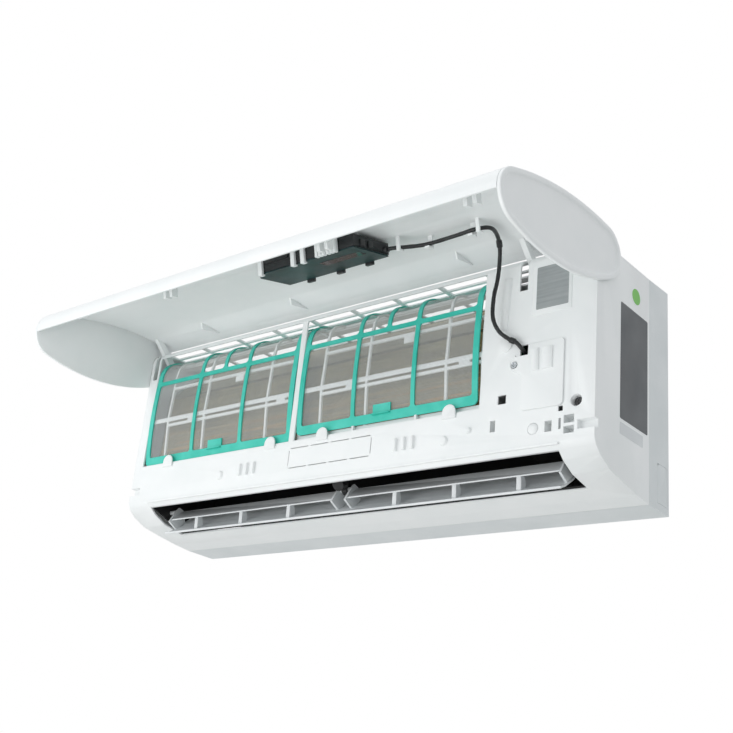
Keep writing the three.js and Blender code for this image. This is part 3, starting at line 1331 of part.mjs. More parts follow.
piece(unit, "wall_plate", wallPlate(), STEEL);
piece(unit, "rear_casing", rearCasing(), CASING);
piece(unit, "pipe_cover", pipeCover(), CASING);
piece(unit, "front_frame", frontFrame(), WHITE);
piece(unit, "wiring_cover", wiringCover(), WHITE);
piece(unit, "cover_screw", screw(COVER_SCREW, FRONT_Y), STEEL);
piece(unit, "frame_screw", screw(FRAME_SCREW, FRONT_Y + SCREW_WELL.depth), BLACK);
piece(unit, "air_duct", airDuct(), BLACK);
piece(unit, "drain_pan", drainPan(), CASING);
piece(unit, "evaporator_lower", coilBlock(COIL_LOWER), FINS);
piece(unit, "evaporator_upper", coilBlock(COIL_UPPER), FINS);
piece(unit, "evaporator_rear", coilBlock(COIL_REAR), FINS);
piece(unit, "coil_plate_left", coilPlate(COIL_X0 - GAP, -1), STEEL);
piece(unit, "coil_plate_right", coilPlate(COIL_X1 + GAP, 1), STEEL);
piece(unit, "fan_bearing", fanBearing(), BLACK);
piece(unit, "fan_motor", fanMotor(), STEEL);
piece(unit, "motor_clamp", motorClamp(), CASING);
piece(unit, "control_box", controlBox(), WHITE);
piece(unit, "control_board", controlBoard(), { color: "#1f6b46", ...PLASTIC });
piece(unit, "terminal_block", terminalBlock(), BLACK);
piece(unit, "display_lead", displayLead(), BLACK);
piece(unit, "louver_support", louverSupport(), BLACK);
piece(unit, "louver_motor", louverMotor(), STEEL);
piece(unit, "manual_button", manualButton(), WHITE);
piece(unit, "cross_flow_fan", crossFlowFan(), { color: "#3a3d40", ...PLASTIC });

for (const filter of [FILTER_LEFT, FILTER_RIGHT]) {
  piece(unit, "filter_" + filter.name + "_frame", filterFrame(filter), TURQUOISE);
  piece(unit, "filter_" + filter.name + "_mesh", filterMesh(filter), { color: "#c9cdcc", ...PLASTIC });
}

for (const { name, x } of vanePositions()) piece(unit, name, vane(x), BLACK);
for (const bank of VANE_BANKS) piece(unit, "vane_link_" + bank.name, vaneLink(bank), BLACK);

const louverGroup = turned(unit, LOUVER_PIVOT, LOUVER_OPEN_DEG);
piece(louverGroup, "louver", louver(), { color: "#dfe2e3", ...PLASTIC });

const panelGroup = turned(unit, HINGE, -PANEL_OPEN_DEG);
piece(panelGroup, "front_panel", frontPanel(), WHITE);
piece(panelGroup, "end_cap_left", endCap(-1), WHITE);
piece(panelGroup, "end_cap_right", endCap(1), WHITE);
piece(panelGroup, "display_housing", displayHousing(), BLACK);
piece(panelGroup, "display_cover", displayCover(), { color: "#2d6a66", ...PLASTIC });

export default model;
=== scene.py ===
"""Looks of a wall-mounted split air conditioner's indoor unit, front panel swung open.

Metres, +Z up, +X along the unit, +Y into the wall, origin at the wall plate.
"""

import json
import math

import bmesh
import bpy
import numpy as np
from mathutils import Matrix
from mathutils.geometry import tessellate_polygon


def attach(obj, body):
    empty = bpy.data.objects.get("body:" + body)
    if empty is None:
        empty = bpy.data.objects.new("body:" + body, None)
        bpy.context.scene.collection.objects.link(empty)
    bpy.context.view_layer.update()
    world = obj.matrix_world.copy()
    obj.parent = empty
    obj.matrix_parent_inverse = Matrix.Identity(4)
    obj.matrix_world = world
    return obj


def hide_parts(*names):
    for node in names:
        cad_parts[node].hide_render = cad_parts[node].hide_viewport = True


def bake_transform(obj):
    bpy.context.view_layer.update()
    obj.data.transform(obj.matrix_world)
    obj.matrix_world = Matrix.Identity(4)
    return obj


MM = 0.001
UNDERSIDE_Z = -150 * MM  # height of the unit's underside in the frame
X, Y, Z = range(3)

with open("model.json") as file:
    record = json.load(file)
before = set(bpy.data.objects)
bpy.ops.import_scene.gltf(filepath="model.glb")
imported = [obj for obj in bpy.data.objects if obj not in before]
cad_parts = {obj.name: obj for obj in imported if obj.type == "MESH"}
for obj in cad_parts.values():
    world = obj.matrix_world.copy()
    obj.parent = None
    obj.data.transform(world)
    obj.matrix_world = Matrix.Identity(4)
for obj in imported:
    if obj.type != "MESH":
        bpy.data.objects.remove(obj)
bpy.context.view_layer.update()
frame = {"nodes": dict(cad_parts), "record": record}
scene = bpy.context.scene


# ---------------------------------------------------------------- colour and shader nodes
def linear(hex_colour):
    """sRGB hex turned to linear RGBA."""
    channels = [int(hex_colour[i : i + 2], 16) / 255 for i in (1, 3, 5)]
    return (*[c / 12.92 if c <= 0.04045 else ((c + 0.055) / 1.055) ** 2.4 for c in channels], 1.0)


def add_node(tree, kind, settings=None, inputs=None):
    """A shader node with its settings, and its inputs set to values or linked to other outputs."""
    node = tree.nodes.new(kind)
    for name, value in (settings or {}).items():
        setattr(node, name, value)
    for name, value in (inputs or {}).items():
        if isinstance(value, bpy.types.NodeSocket):
            tree.links.new(value, node.inputs[name])
        else:
            node.inputs[name].default_value = value
    return node


def new_material(name, hex_colour, **surface):
    """A principled material: constant values set on the shader's own sockets."""
    material = bpy.data.materials.new(name)
    material.use_nodes = True
    tree = material.node_tree
    shader = tree.nodes["Principled BSDF"]
    shader.inputs["Base Color"].default_value = linear(hex_colour)
    for socket, value in surface.items():
        shader.inputs[socket.replace("_", " ")].default_value = value
    return material, tree, shader


def dress(node, material):
    """The CAD node takes this material."""
    mesh = frame["nodes"][node].data
    mesh.materials.clear()
    mesh.materials.append(material)


# ---------------------------------------------------------------- camera
# Solved from the photograph: focal length in pixels, place in metres, angles in degrees.
FOCAL_PX = 1129.37
IMAGE_PX = 733
SENSOR_MM = 36.0
CAMERA_AT = (0.94535, -1.19997, -0.51103)
CAMERA_AZIMUTH = 41.18
CAMERA_ELEVATION = -21.87
CAMERA_ROLL = 5.81
CAMERA_REACH = 50


def camera_axes():
    """Right, up and backward directions of the camera from its azimuth, elevation and roll."""
    a, e, r = np.radians([CAMERA_AZIMUTH, CAMERA_ELEVATION, CAMERA_ROLL])
    back = np.array([np.sin(a) * np.cos(e), -np.cos(a) * np.cos(e), np.sin(e)])
    right = np.cross(-back, [0, 0, 1])
    right /= np.linalg.norm(right)
    up = np.cross(back, right)
    return right * np.cos(r) + up * np.sin(r), up * np.cos(r) - right * np.sin(r), back


def make_camera():
    """The camera that the photograph was taken from, turned by its three axes."""
    data = bpy.data.cameras.new("camera")
    data.sensor_width = SENSOR_MM
    data.lens = FOCAL_PX / IMAGE_PX * SENSOR_MM
    data.clip_end = CAMERA_REACH
    camera = bpy.data.objects.new("camera", data)
    scene.collection.objects.link(camera)
    right, up, back = camera_axes()
    matrix = np.eye(4)
    matrix[:3, 0], matrix[:3, 1], matrix[:3, 2], matrix[:3, 3] = right, up, back, CAMERA_AT
    camera.matrix_world = Matrix(matrix.tolist())
    scene.camera = camera


make_camera()


# ---------------------------------------------------------------- floor, backdrop and light
FLOOR_Z = -0.9
FLOOR_HALF = 6.0
AMBIENT = 0.66  # strength of the world's light on the unit

# name, place, aimed at, width in metres, watts
LAMPS = [
    ("key", (-1.6, -2.6, 1.3), (0, -0.15, 0), 2.2, 15),
    ("fill_below", (-0.2, -1.1, -0.86), (0, -0.25, 0.1), 1.6, 15),
    ("top", (0.2, -0.4, 2.2), (0, -0.1, 0), 2.0, 10),
]


def make_stage():
    """A pale floor under the unit and a white world that only the camera and mirrors see as white."""
    mesh = bpy.data.meshes.new("floor")
    h = FLOOR_HALF
    corners = [(-h, -h, FLOOR_Z), (h, -h, FLOOR_Z), (h, h, FLOOR_Z), (-h, h, FLOOR_Z)]
    mesh.from_pydata(corners, [], [(0, 1, 2, 3)])
    floor = bpy.data.objects.new("floor", mesh)
    scene.collection.objects.link(floor)
    material, _, _ = new_material("studio floor paint", "#e9e9e7", Roughness=0.9)
    mesh.materials.append(material)

    world = bpy.data.worlds.new("studio")
    scene.world = world
    world.use_nodes = True
    tree = world.node_tree
    tree.nodes.clear()
    rays = add_node(tree, "ShaderNodeLightPath")
    seen = add_node(
        tree,
        "ShaderNodeMath",
        {"operation": "MAXIMUM"},
        {0: rays.outputs["Is Camera Ray"], 1: rays.outputs["Is Glossy Ray"]},
    )
    light = add_node(tree, "ShaderNodeBackground", None, {"Color": linear("#f4f7fa"), "Strength": AMBIENT})
    white = add_node(tree, "ShaderNodeBackground", None, {"Color": linear("#ffffff"), "Strength": 1.0})
    mixed = add_node(
        tree,
        "ShaderNodeMixShader",
        None,
        {0: seen.outputs[0], 1: light.outputs[0], 2: white.outputs[0]},
    )
    add_node(tree, "ShaderNodeOutputWorld", None, {"Surface": mixed.outputs[0]})


def make_lamps():
    """Soft square lamps, each aimed at a point of the unit."""
    for name, place, aim, width, watts in LAMPS:
        data = bpy.data.lights.new(name, "AREA")
        data.size = width
        data.energy = watts
        lamp = bpy.data.objects.new(name, data)
        scene.collection.objects.link(lamp)
        back = np.array(place) - np.array(aim)
        back /= np.linalg.norm(back)
        right = np.cross([0.0, 0.0, 1.0], back)
        right /= np.linalg.norm(right)
        matrix = np.eye(4)
        matrix[:3, 0], matrix[:3, 1], matrix[:3, 2] = right, np.cross(back, right), back
        matrix[:3, 3] = place
        lamp.matrix_world = Matrix(matrix.tolist())


make_stage()
make_lamps()
scene.view_settings.view_transform = "Standard"


# ---------------------------------------------------------------- finishes
def grain(tree, shader, size_mm, height_mm, stretch=(1, 1, 1)):
    """Surface grain: noise whose cells are size_mm wide, as a bump height_mm deep."""
    place = add_node(tree, "ShaderNodeTexCoord").outputs["Object"]
    turned = add_node(tree, "ShaderNodeMapping", None, {"Vector": place, "Scale": stretch})
    noise = add_node(
        tree,
        "ShaderNodeTexNoise",
        None,
        {"Vector": turned.outputs[0], "Scale": 1 / (size_mm * MM), "Detail": 2.0, "Roughness": 0.55},
    )
    bump = add_node(
        tree,
        "ShaderNodeBump",
        None,
        {"Height": noise.outputs[0], "Distance": height_mm * MM, "Strength": 1.0},
    )
    tree.links.new(bump.outputs[0], shader.inputs["Normal"])


def mottle(tree, shader, hexes, size_mm, stretch=(1, 1, 1)):
    """Base colour that drifts between two hex colours in clouds size_mm wide."""
    place = add_node(tree, "ShaderNodeTexCoord").outputs["Object"]
    turned = add_node(tree, "ShaderNodeMapping", None, {"Vector": place, "Scale": stretch})
    noise = add_node(
        tree,
        "ShaderNodeTexNoise",
        None,
        {"Vector": turned.outputs[0], "Scale": 1 / (size_mm * MM), "Detail": 3.0},
    )
    level = add_node(
        tree,
        "ShaderNodeMapRange",
        None,
        {"Value": noise.outputs[0], "From Min": 0.35, "From Max": 0.65},
    )
    colour = add_node(
        tree,
        "ShaderNodeMix",
        {"data_type": "RGBA"},
        {0: level.outputs[0], 6: linear(hexes[0]), 7: linear(hexes[1])},
    )
    tree.links.new(colour.outputs[2], shader.inputs["Base Color"])


def roughness_drift(tree, shader, low, high, size_mm):
    """Roughness between low and high, from handling marks size_mm wide."""
    place = add_node(tree, "ShaderNodeTexCoord").outputs["Object"]
    noise = add_node(
        tree,
        "ShaderNodeTexNoise",
        None,
        {"Vector": place, "Scale": 1 / (size_mm * MM), "Detail": 4.0},
    )
    level = add_node(
        tree,
        "ShaderNodeMapRange",
        None,
        {"Value": noise.outputs[0], "From Min": 0.3, "From Max": 0.7, "To Min": low, "To Max": high},
    )
    tree.links.new(level.outputs[0], shader.inputs["Roughness"])


HANDLING_MM = 35  # width of handling marks on plastic
SPANGLE_MM = 8  # width of the gloss patches on plated metal


def moulded(name, hexes, rough, grain_mm, depth_mm, cloud_mm=60, ior=1.54):
    """Moulded plastic, paint or film: faint clouds in its colour, gloss that drifts, and a fine grain."""
    material, tree, shader = new_material(name, hexes[0], IOR=ior)
    mottle(tree, shader, hexes, cloud_mm)
    roughness_drift(tree, shader, rough[0], rough[1], HANDLING_MM)
    grain(tree, shader, grain_mm, depth_mm)
    return material


# Satin white ABS of the frame and the panel: clean, slightly cool, soft wide highlights.
WHITE_ABS = moulded("moulded white ABS", ("#f6f8f8", "#f2f5f5"), (0.34, 0.42), 1.6, 0.008)
# ABS of the casing, pan and covers behind the frame: left as it comes from the tool, duller and cooler.
CASING_ABS = moulded("grained casing ABS", ("#e6eaeb", "#dfe4e5"), (0.45, 0.58), 0.9, 0.03)
# ABS of the louver: white like the frame's, with painted shade that makes it a little greyer, as it sits in
# the outlet's shade; the same satin sheen.
SHADED_LOUVER_ABS = moulded("louver ABS with painted shade", ("#eceff0", "#e5e9ea"), (0.32, 0.42), 1.4, 0.012)
# Black high impact polystyrene of the air duct and vanes: deep and matt, with a dusty sheen.
DUCT_BLACK = moulded("moulded black polystyrene", ("#131415", "#1b1c1d"), (0.5, 0.65), 0.9, 0.03)
# Black ABS of the display tray: finer and glossier than the duct.
TRAY_BLACK = moulded("moulded black ABS", ("#16181a", "#1d2022"), (0.28, 0.4), 0.9, 0.015)
# Polypropylene of the filter frames: turquoise, waxy, with small paler clouds.
TURQUOISE_PP = moulded(
    "moulded turquoise polypropylene", ("#33c4b0", "#48cfbd"), (0.35, 0.48), 1.2, 0.02, 25, 1.49
)
# Glass filled fan plastic: nearly black, with pale fibre specks.
FAN_PLASTIC = moulded("glass filled fan plastic", ("#2b2e30", "#3b3f41"), (0.5, 0.65), 0.7, 0.03, 2)
# Sheath of the display lead: soft black vinyl with a low sheen.
LEAD_VINYL = moulded("extruded black vinyl", ("#141516", "#222426"), (0.35, 0.5), 1.5, 0.04, 12, 1.52)


def metal(name, hexes, rough, depth_mm, size_mm, stretch=(1, 1, 1)):
    """A metal whose colour and bump run in patches size_mm wide, or in streaks where stretched."""
    material, tree, shader = new_material(name, hexes[0], Metallic=1.0)
    mottle(tree, shader, hexes, size_mm, stretch)
    roughness_drift(tree, shader, rough[0], rough[1], SPANGLE_MM)
    grain(tree, shader, size_mm, depth_mm, stretch)
    return material


# Hot dipped zinc on the wall plate and the louver motor's can: grey spangle in patches.
GALVANISED = metal("galvanised sheet steel", ("#b4b8ba", "#c6cacb"), (0.3, 0.45), 0.01, 9)
# Zinc plated screw steel: bright, and finely mottled.
ZINC_SCREW = metal("zinc plated screw steel", ("#aab0b4", "#c9cdd0"), (0.22, 0.35), 0.01, 0.6)
# Blackened screw steel: dark, with a low oily gloss.
BLACK_SCREW = moulded("blackened screw steel", ("#1c1d1f", "#2a2c2e"), (0.25, 0.4), 0.5, 0.01, 3)
# Aluminium foil of the label on the face: fine brushed lines along the unit.
LABEL_FOIL = metal("brushed label foil", ("#b0b4b6", "#bcc0c1"), (0.45, 0.55), 0.004, 3, (0.05, 1, 1))


WAVE_UNIT = 2 * math.pi / 20  # the wave texture repeats every 2 pi / (20 * scale) metres
FIN_PITCH_MM = 1.5
DUST_MM = 2.2  # height of the dusty streaks along the coil
GILT_MM = 5  # height of the copper-coloured ones
COPPER_FROM_Z = 10 * MM  # the copper tubes show through the fins from here
COPPER_FULL_Z = -42 * MM


def coil_finish():
    """Stacked aluminium fins: upright lines at the fin pitch, long dusty streaks, copper low down."""
    material, tree, shader = new_material("stacked aluminium fins", "#9a9584", Metallic=0.55, Roughness=0.5)
    place = add_node(tree, "ShaderNodeTexCoord").outputs["Object"]
    along = add_node(tree, "ShaderNodeMapping", None, {"Vector": place, "Scale": (0.02, 1, 1)})
    streak = add_node(
        tree,
        "ShaderNodeTexNoise",
        None,
        {"Vector": along.outputs[0], "Scale": 1 / (DUST_MM * MM), "Detail": 4.0, "Roughness": 0.7},
    )
    level = add_node(
        tree,
        "ShaderNodeMapRange",
        None,
        {"Value": streak.outputs[0], "From Min": 0.32, "From Max": 0.68},
    )
    dusty = add_node(
        tree,
        "ShaderNodeMix",
        {"data_type": "RGBA"},
        {0: level.outputs[0], 6: linear("#5c5236"), 7: linear("#9d8f66")},
    )
    split = add_node(tree, "ShaderNodeSeparateXYZ", None, {"Vector": place})
    low = add_node(
        tree,
        "ShaderNodeMapRange",
        None,
        {"Value": split.outputs["Z"], "From Min": COPPER_FROM_Z, "From Max": COPPER_FULL_Z},
    )
    gold_streak = add_node(
        tree,
        "ShaderNodeTexNoise",
        None,
        {"Vector": along.outputs[0], "Scale": 1 / (GILT_MM * MM), "Detail": 2.0},
    )
    gold_level = add_node(
        tree,
        "ShaderNodeMapRange",
        None,
        {"Value": gold_streak.outputs[0], "From Min": 0.52, "From Max": 0.62},
    )
    gold_mask = add_node(
        tree,
        "ShaderNodeMath",
        {"operation": "MULTIPLY"},
        {0: gold_level.outputs[0], 1: low.outputs[0]},
    )
    gilded = add_node(
        tree,
        "ShaderNodeMix",
        {"data_type": "RGBA"},
        {0: gold_mask.outputs[0], 6: dusty.outputs[2], 7: linear("#c08a3e")},
    )
    tree.links.new(gilded.outputs[2], shader.inputs["Base Color"])
    fins = add_node(
        tree,
        "ShaderNodeTexWave",
        {"wave_type": "BANDS", "bands_direction": "X"},
        {"Vector": place, "Scale": WAVE_UNIT / (FIN_PITCH_MM * MM), "Distortion": 0.4, "Detail": 1.0},
    )
    bump = add_node(
        tree,
        "ShaderNodeBump",
        None,
        {"Height": fins.outputs[1], "Distance": 0.25 * MM, "Strength": 0.7},
    )
    tree.links.new(bump.outputs[0], shader.inputs["Normal"])
    return material


COIL_FINS = coil_finish()


PLATES_OUTSIDE = (-352.1 * MM, 228.1 * MM)  # outer faces of the left and right end plates
TARNISH_MM = 6  # width of the clouds on the plates and bends


def copper_and_plate():
    """End plate in galvanised steel with copper return bends, told apart by how far out they lie."""
    material, tree, shader = new_material(
        "end plate with copper bends", "#b4b8ba", Metallic=1.0, Roughness=0.35
    )
    place = add_node(tree, "ShaderNodeTexCoord").outputs["Object"]
    split = add_node(tree, "ShaderNodeSeparateXYZ", None, {"Vector": place})
    left, right = [
        add_node(tree, "ShaderNodeMath", {"operation": test}, {0: split.outputs["X"], 1: face})
        for test, face in zip(("LESS_THAN", "GREATER_THAN"), PLATES_OUTSIDE)
    ]
    bend = add_node(
        tree, "ShaderNodeMath", {"operation": "MAXIMUM"}, {0: right.outputs[0], 1: left.outputs[0]}
    )
    clouds = add_node(
        tree, "ShaderNodeTexNoise", None, {"Vector": place, "Scale": 1 / (TARNISH_MM * MM), "Detail": 3.0}
    )
    copper, zinc = [
        add_node(
            tree,
            "ShaderNodeMix",
            {"data_type": "RGBA"},
            {0: clouds.outputs[0], 6: linear(dark), 7: linear(light)},
        )
        for dark, light in (("#b87048", "#d49468"), ("#a9adb0", "#c9cdcf"))
    ]
    both = add_node(
        tree,
        "ShaderNodeMix",
        {"data_type": "RGBA"},
        {0: bend.outputs[0], 6: zinc.outputs[2], 7: copper.outputs[2]},
    )
    tree.links.new(both.outputs[2], shader.inputs["Base Color"])
    grain(tree, shader, 4, 0.01)
    return material


COIL_PLATE = copper_and_plate()


NET_PITCH_MM = 1.6
NET_VEIL = (0.17, 0.5)  # cover between the threads and on them


def net_finish():
    """Woven polypropylene net: pale threads both ways on a clear ground.

    Threads really lie 0.5 mm apart; they are drawn 1.6 mm apart so that they show.
    """
    material, tree, shader = new_material("woven filter net", "#e4e8e8", Roughness=0.55, IOR=1.49)
    tree.nodes.remove(tree.nodes["Material Output"])
    place = add_node(tree, "ShaderNodeTexCoord").outputs["Object"]
    threads = []
    for direction in ("X", "Z"):
        wave = add_node(
            tree,
            "ShaderNodeTexWave",
            {"wave_type": "BANDS", "bands_direction": direction},
            {"Vector": place, "Scale": WAVE_UNIT / (NET_PITCH_MM * MM), "Distortion": 0.0},
        )
        threads.append(
            add_node(
                tree,
                "ShaderNodeMapRange",
                None,
                {"Value": wave.outputs[1], "From Min": 0.72, "From Max": 0.92},
            ).outputs[0]
        )
    weave = add_node(tree, "ShaderNodeMath", {"operation": "MAXIMUM"}, {0: threads[0], 1: threads[1]})
    veil = add_node(
        tree,
        "ShaderNodeMapRange",
        None,
        {"Value": weave.outputs[0], "To Min": NET_VEIL[0], "To Max": NET_VEIL[1]},
    )
    clear = add_node(tree, "ShaderNodeBsdfTransparent")
    mixed = add_node(
        tree,
        "ShaderNodeMixShader",
        None,
        {0: veil.outputs[0], 1: clear.outputs[0], 2: shader.outputs[0]},
    )
    add_node(tree, "ShaderNodeOutputMaterial", None, {"Surface": mixed.outputs[0]})
    bump = add_node(
        tree, "ShaderNodeBump", None, {"Height": weave.outputs[0], "Distance": 0.15 * MM, "Strength": 0.6}
    )
    tree.links.new(bump.outputs[0], shader.inputs["Normal"])
    return material


FILTER_NET = net_finish()

# Tinted cover of the display board: smoky teal, so deep that nothing shows through it.
DISPLAY_TINT = moulded("tinted display cover", ("#0a2628", "#103436"), (0.3, 0.42), 2.5, 0.01, 18, 1.49)
# Window in that cover, browner and glossier.
DISPLAY_WINDOW = moulded("smoked display window", ("#3a2c30", "#4a3a3c"), (0.08, 0.14), 3, 0.005, 12, 1.58)
# Lacquered circuit board: green with darker copper areas.
BOARD_LACQUER = moulded("lacquered circuit board", ("#1d6a45", "#2b7d52"), (0.25, 0.4), 1.2, 0.04, 6)
# Painted motor can: plain satin grey.
MOTOR_PAINT = moulded("satin motor paint", ("#9a9c9e", "#a4a6a8"), (0.35, 0.48), 1.2, 0.02)
# Dark film of the label on the cabinet's side: nearly black, with a low sheen.
SIDE_LABEL = moulded("dark label film", ("#343a3f", "#3e454a"), (0.35, 0.45), 1.0, 0.01)
# Pale film of the sticker under it: a shade cooler than the casing.
PALE_LABEL = moulded("pale label film", ("#dfe3e4", "#d6dadc"), (0.3, 0.4), 1.0, 0.01)
# Green film of the round sticker: bright, with a low gloss.
GREEN_DISC = moulded("green label film", ("#5cb436", "#6cc044"), (0.3, 0.4), 1.0, 0.01)


# ---------------------------------------------------------------- meshes
def put(name, mesh, material, body, smooth_deg=35):
    """A finished mesh becomes a piece on a body, if one is given, smooth but for edges over smooth_deg."""
    mesh.materials.clear()
    mesh.materials.append(material)
    mesh.polygons.foreach_set("use_smooth", np.ones(len(mesh.polygons), dtype=bool))
    mesh.set_sharp_from_angle(angle=math.radians(smooth_deg))
    piece = bpy.data.objects.new(name, mesh)
    scene.collection.objects.link(piece)
    if body:
        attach(piece, body)
    return piece


def grid_mesh(name, points, wrap_v=False, capped=False):
    """Quads over rows of points [u, v]; wrap_v closes each row on itself, and caps close both ends."""
    n, m = points.shape[:2]
    index = np.arange(n * m).reshape(n, m)
    if wrap_v:
        index = np.concatenate([index, index[:, :1]], 1)
    quads = np.stack([index[:-1, :-1], index[:-1, 1:], index[1:, 1:], index[1:, :-1]], -1)
    faces = quads.reshape(-1, 4).tolist()
    if capped:
        faces += [index[0, :m][::-1].tolist(), index[-1, :m].tolist()]
    mesh = bpy.data.meshes.new(name)
    mesh.from_pydata(points.reshape(-1, 3).tolist(), [], faces)
    return mesh


MERGE_M = 1e-6  # points closer than this are one


def outward(mesh):
    """Faces of a closed mesh turned to point out, after doubles are merged."""
    bm = bmesh.new()
    bm.from_mesh(mesh)
    bmesh.ops.remove_doubles(bm, verts=bm.verts, dist=MERGE_M)
    bmesh.ops.recalc_face_normals(bm, faces=bm.faces)
    bm.to_mesh(mesh)
    bm.free()
    return mesh


def soften(piece, width_mm, angle_deg=40):
    """Small rounds on the edges sharper than angle_deg."""
    bevel = piece.modifiers.new("edge rounds", "BEVEL")
    bevel.width = width_mm * MM
    bevel.segments = 2
    bevel.limit_method = "ANGLE"
    bevel.angle_limit = math.radians(angle_deg)
    bevel.harden_normals = True


# Long curved skins, whose thin triangles are joined to strips so that they shade evenly.
LONG_FACETS = ("front_panel",)
STRIP_DEG = 0.4  # triangles that lie this near one plane are joined
CURVE_DEG = 32  # facets that meet at less than this are a curve


def moulded_copy(node, material, round_mm):
    """The node's own solid with its loose triangles merged, its edges rounded and its curves smooth."""
    mesh = frame["nodes"][node].data.copy()
    mesh.name = node + "_finish"
    bm = bmesh.new()
    bm.from_mesh(mesh)
    bmesh.ops.remove_doubles(bm, verts=bm.verts, dist=2 * MERGE_M)
    if node in LONG_FACETS:
        bmesh.ops.dissolve_limit(bm, angle_limit=math.radians(STRIP_DEG), verts=bm.verts, edges=bm.edges)
    bm.to_mesh(mesh)
    bm.free()
    piece = put(node + "_finish", mesh, material, BODY_OF[node], CURVE_DEG)
    soften(piece, round_mm)
    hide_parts(node)


BODIES = frame["record"]["behaviour"]["bodies"]
BODY_OF = {node: body for body, nodes in BODIES.items() for node in nodes}


def unit(points):
    """Points in the unit's millimetres (z from its underside) to the frame's metres."""
    return np.asarray(points, float) * MM + np.array([0.0, 0.0, UNDERSIDE_Z])


def prism(name, outline, axis, near, far, material, body, slot, round_mm):
    """A flat outline, given by its other two coordinates, carried from near to far along an axis.

    A piece of the panel is given in the panel's closed place and turned open with it.
    """
    outline = np.asarray(outline, float)
    layers = np.stack([np.insert(outline, axis, level, axis=1) for level in (near, far)])
    if body == "panel":
        layers = opened(layers)
    mesh = outward(grid_mesh(name, unit(layers), wrap_v=True, capped=True))
    soften(put(name, mesh, material, body), round_mm)


def circle(a, b, r, steps=28):
    """Outline of a circle of radius r about (a, b)."""
    turn = np.linspace(0, 2 * math.pi, steps, endpoint=False)
    return np.stack([a + r * np.cos(turn), b + r * np.sin(turn)], -1)


CORNER_STEPS = 6  # points on a rounded corner


def rounded_rectangle(a0, a1, b0, b1, r, steps=CORNER_STEPS):
    """Counter-clockwise outline with quarter-circle corners of radius r."""
    angle = np.linspace(0, math.pi / 2, steps)
    centres = ((a1 - r, b1 - r), (a0 + r, b1 - r), (a0 + r, b0 + r), (a1 - r, b0 + r))
    corners = []
    for quarter, (a, b) in enumerate(centres):
        turn = angle + quarter * math.pi / 2
        corners.append(np.stack([a + r * np.cos(turn), b + r * np.sin(turn)], -1))
    return np.concatenate(corners)


HINGE = (-153.0, 271.0)  # y and z of the panel's hinge line
PANEL_OPEN_DEG = 75


def opened(points):
    """Points drawn with the panel closed, turned about the hinge line to the open pose."""
    a = -math.radians(PANEL_OPEN_DEG)
    dy, dz = points[..., 1] - HINGE[0], points[..., 2] - HINGE[1]
    y = HINGE[0] + math.cos(a) * dy - math.sin(a) * dz
    z = HINGE[1] + math.sin(a) * dy + math.cos(a) * dz
    return np.stack([points[..., 0], y, z], -1)


# ---------------------------------------------------------------- display lead
# Route of the lead from the display module over the panel and down to the hole in the frame,
# as in the part's source: the unit's millimetres, panel open.
LEAD_ROUTE = [
    (155.2, -278, 281.9),
    (163, -275.5, 282.3),
    (176, -268.5, 283.5),
    (196, -259, 286),
    (240, -258.5, 286.5),
    (270, -259, 287),
    (281, -250, 290),
    (277, -229, 293.5),
    (268, -207, 288),
    (262, -197, 268),
    (259, -195, 250),
    (256, -196, 229),
    (257, -196, 200),
    (263, -191, 185),
    (274, -187.5, 175),
    (285, -187, 168),
    (290.5, -184, 161),
    (291, -175, 158),
    (291, -166, 157),
]
LEAD_R = 2.5
LEAD_RINGS = 260
LEAD_SIDES = 16
RIPPLE = 0.035  # how far the sheath's radius ripples, as a share of it
RIPPLE_RATES = (170, 41)  # radians from end to end of the two sines that ripple it
LEAD_TIES = (0.47, 0.86)  # shares of the lead's length where tape holds its sheath
TAPE_RINGS = 4  # rings of the lead on each side of a tape's middle
TAPE_GAP = 0.05  # between the sheath and the edges of the tape
TAPE_RISE = 1.1
NEVER_RUN = (0.7071, 0.0, 0.7071)  # a direction that the lead never runs in


def smooth_path(points, count):
    """Centripetal Catmull-Rom curve through the points, sampled at count even parameters."""
    p = np.asarray(points, float)
    p = np.concatenate([[2 * p[0] - p[1]], p, [2 * p[-1] - p[-2]]])
    knots = np.concatenate([[0], np.cumsum(np.linalg.norm(np.diff(p, axis=0), axis=1) ** 0.5)])
    t = np.linspace(knots[1], knots[-2] - 1e-9, count)
    k = np.clip(np.searchsorted(knots, t, side="right") - 1, 1, len(p) - 3)
    ends = [knots[k - 1 + i][:, None] for i in range(4)]
    at = [p[k - 1 + i] for i in range(4)]
    t = t[:, None]
    for level in (1, 2):
        at = [
            (at[i] * (ends[i + level] - t) + at[i + 1] * (t - ends[i])) / (ends[i + level] - ends[i])
            for i in range(4 - level)
        ]
    return (at[0] * (ends[2] - t) + at[1] * (t - ends[1])) / (ends[2] - ends[1])


def tube_along(path, radius, sides):
    """Rings about a path: path + r (cos a u + sin a v), with u and v square to its tangent."""
    tangent = np.gradient(path, axis=0)
    tangent /= np.linalg.norm(tangent, axis=1)[:, None]
    aside = np.cross(tangent, NEVER_RUN)
    aside /= np.linalg.norm(aside, axis=1)[:, None]
    ahead = np.cross(tangent, aside)
    angle = np.linspace(0, 2 * math.pi, sides, endpoint=False)[None, :, None]
    r = np.broadcast_to(np.asarray(radius, float), len(path))[:, None, None]
    return path[:, None, :] + r * (np.cos(angle) * aside[:, None, :] + np.sin(angle) * ahead[:, None, :])


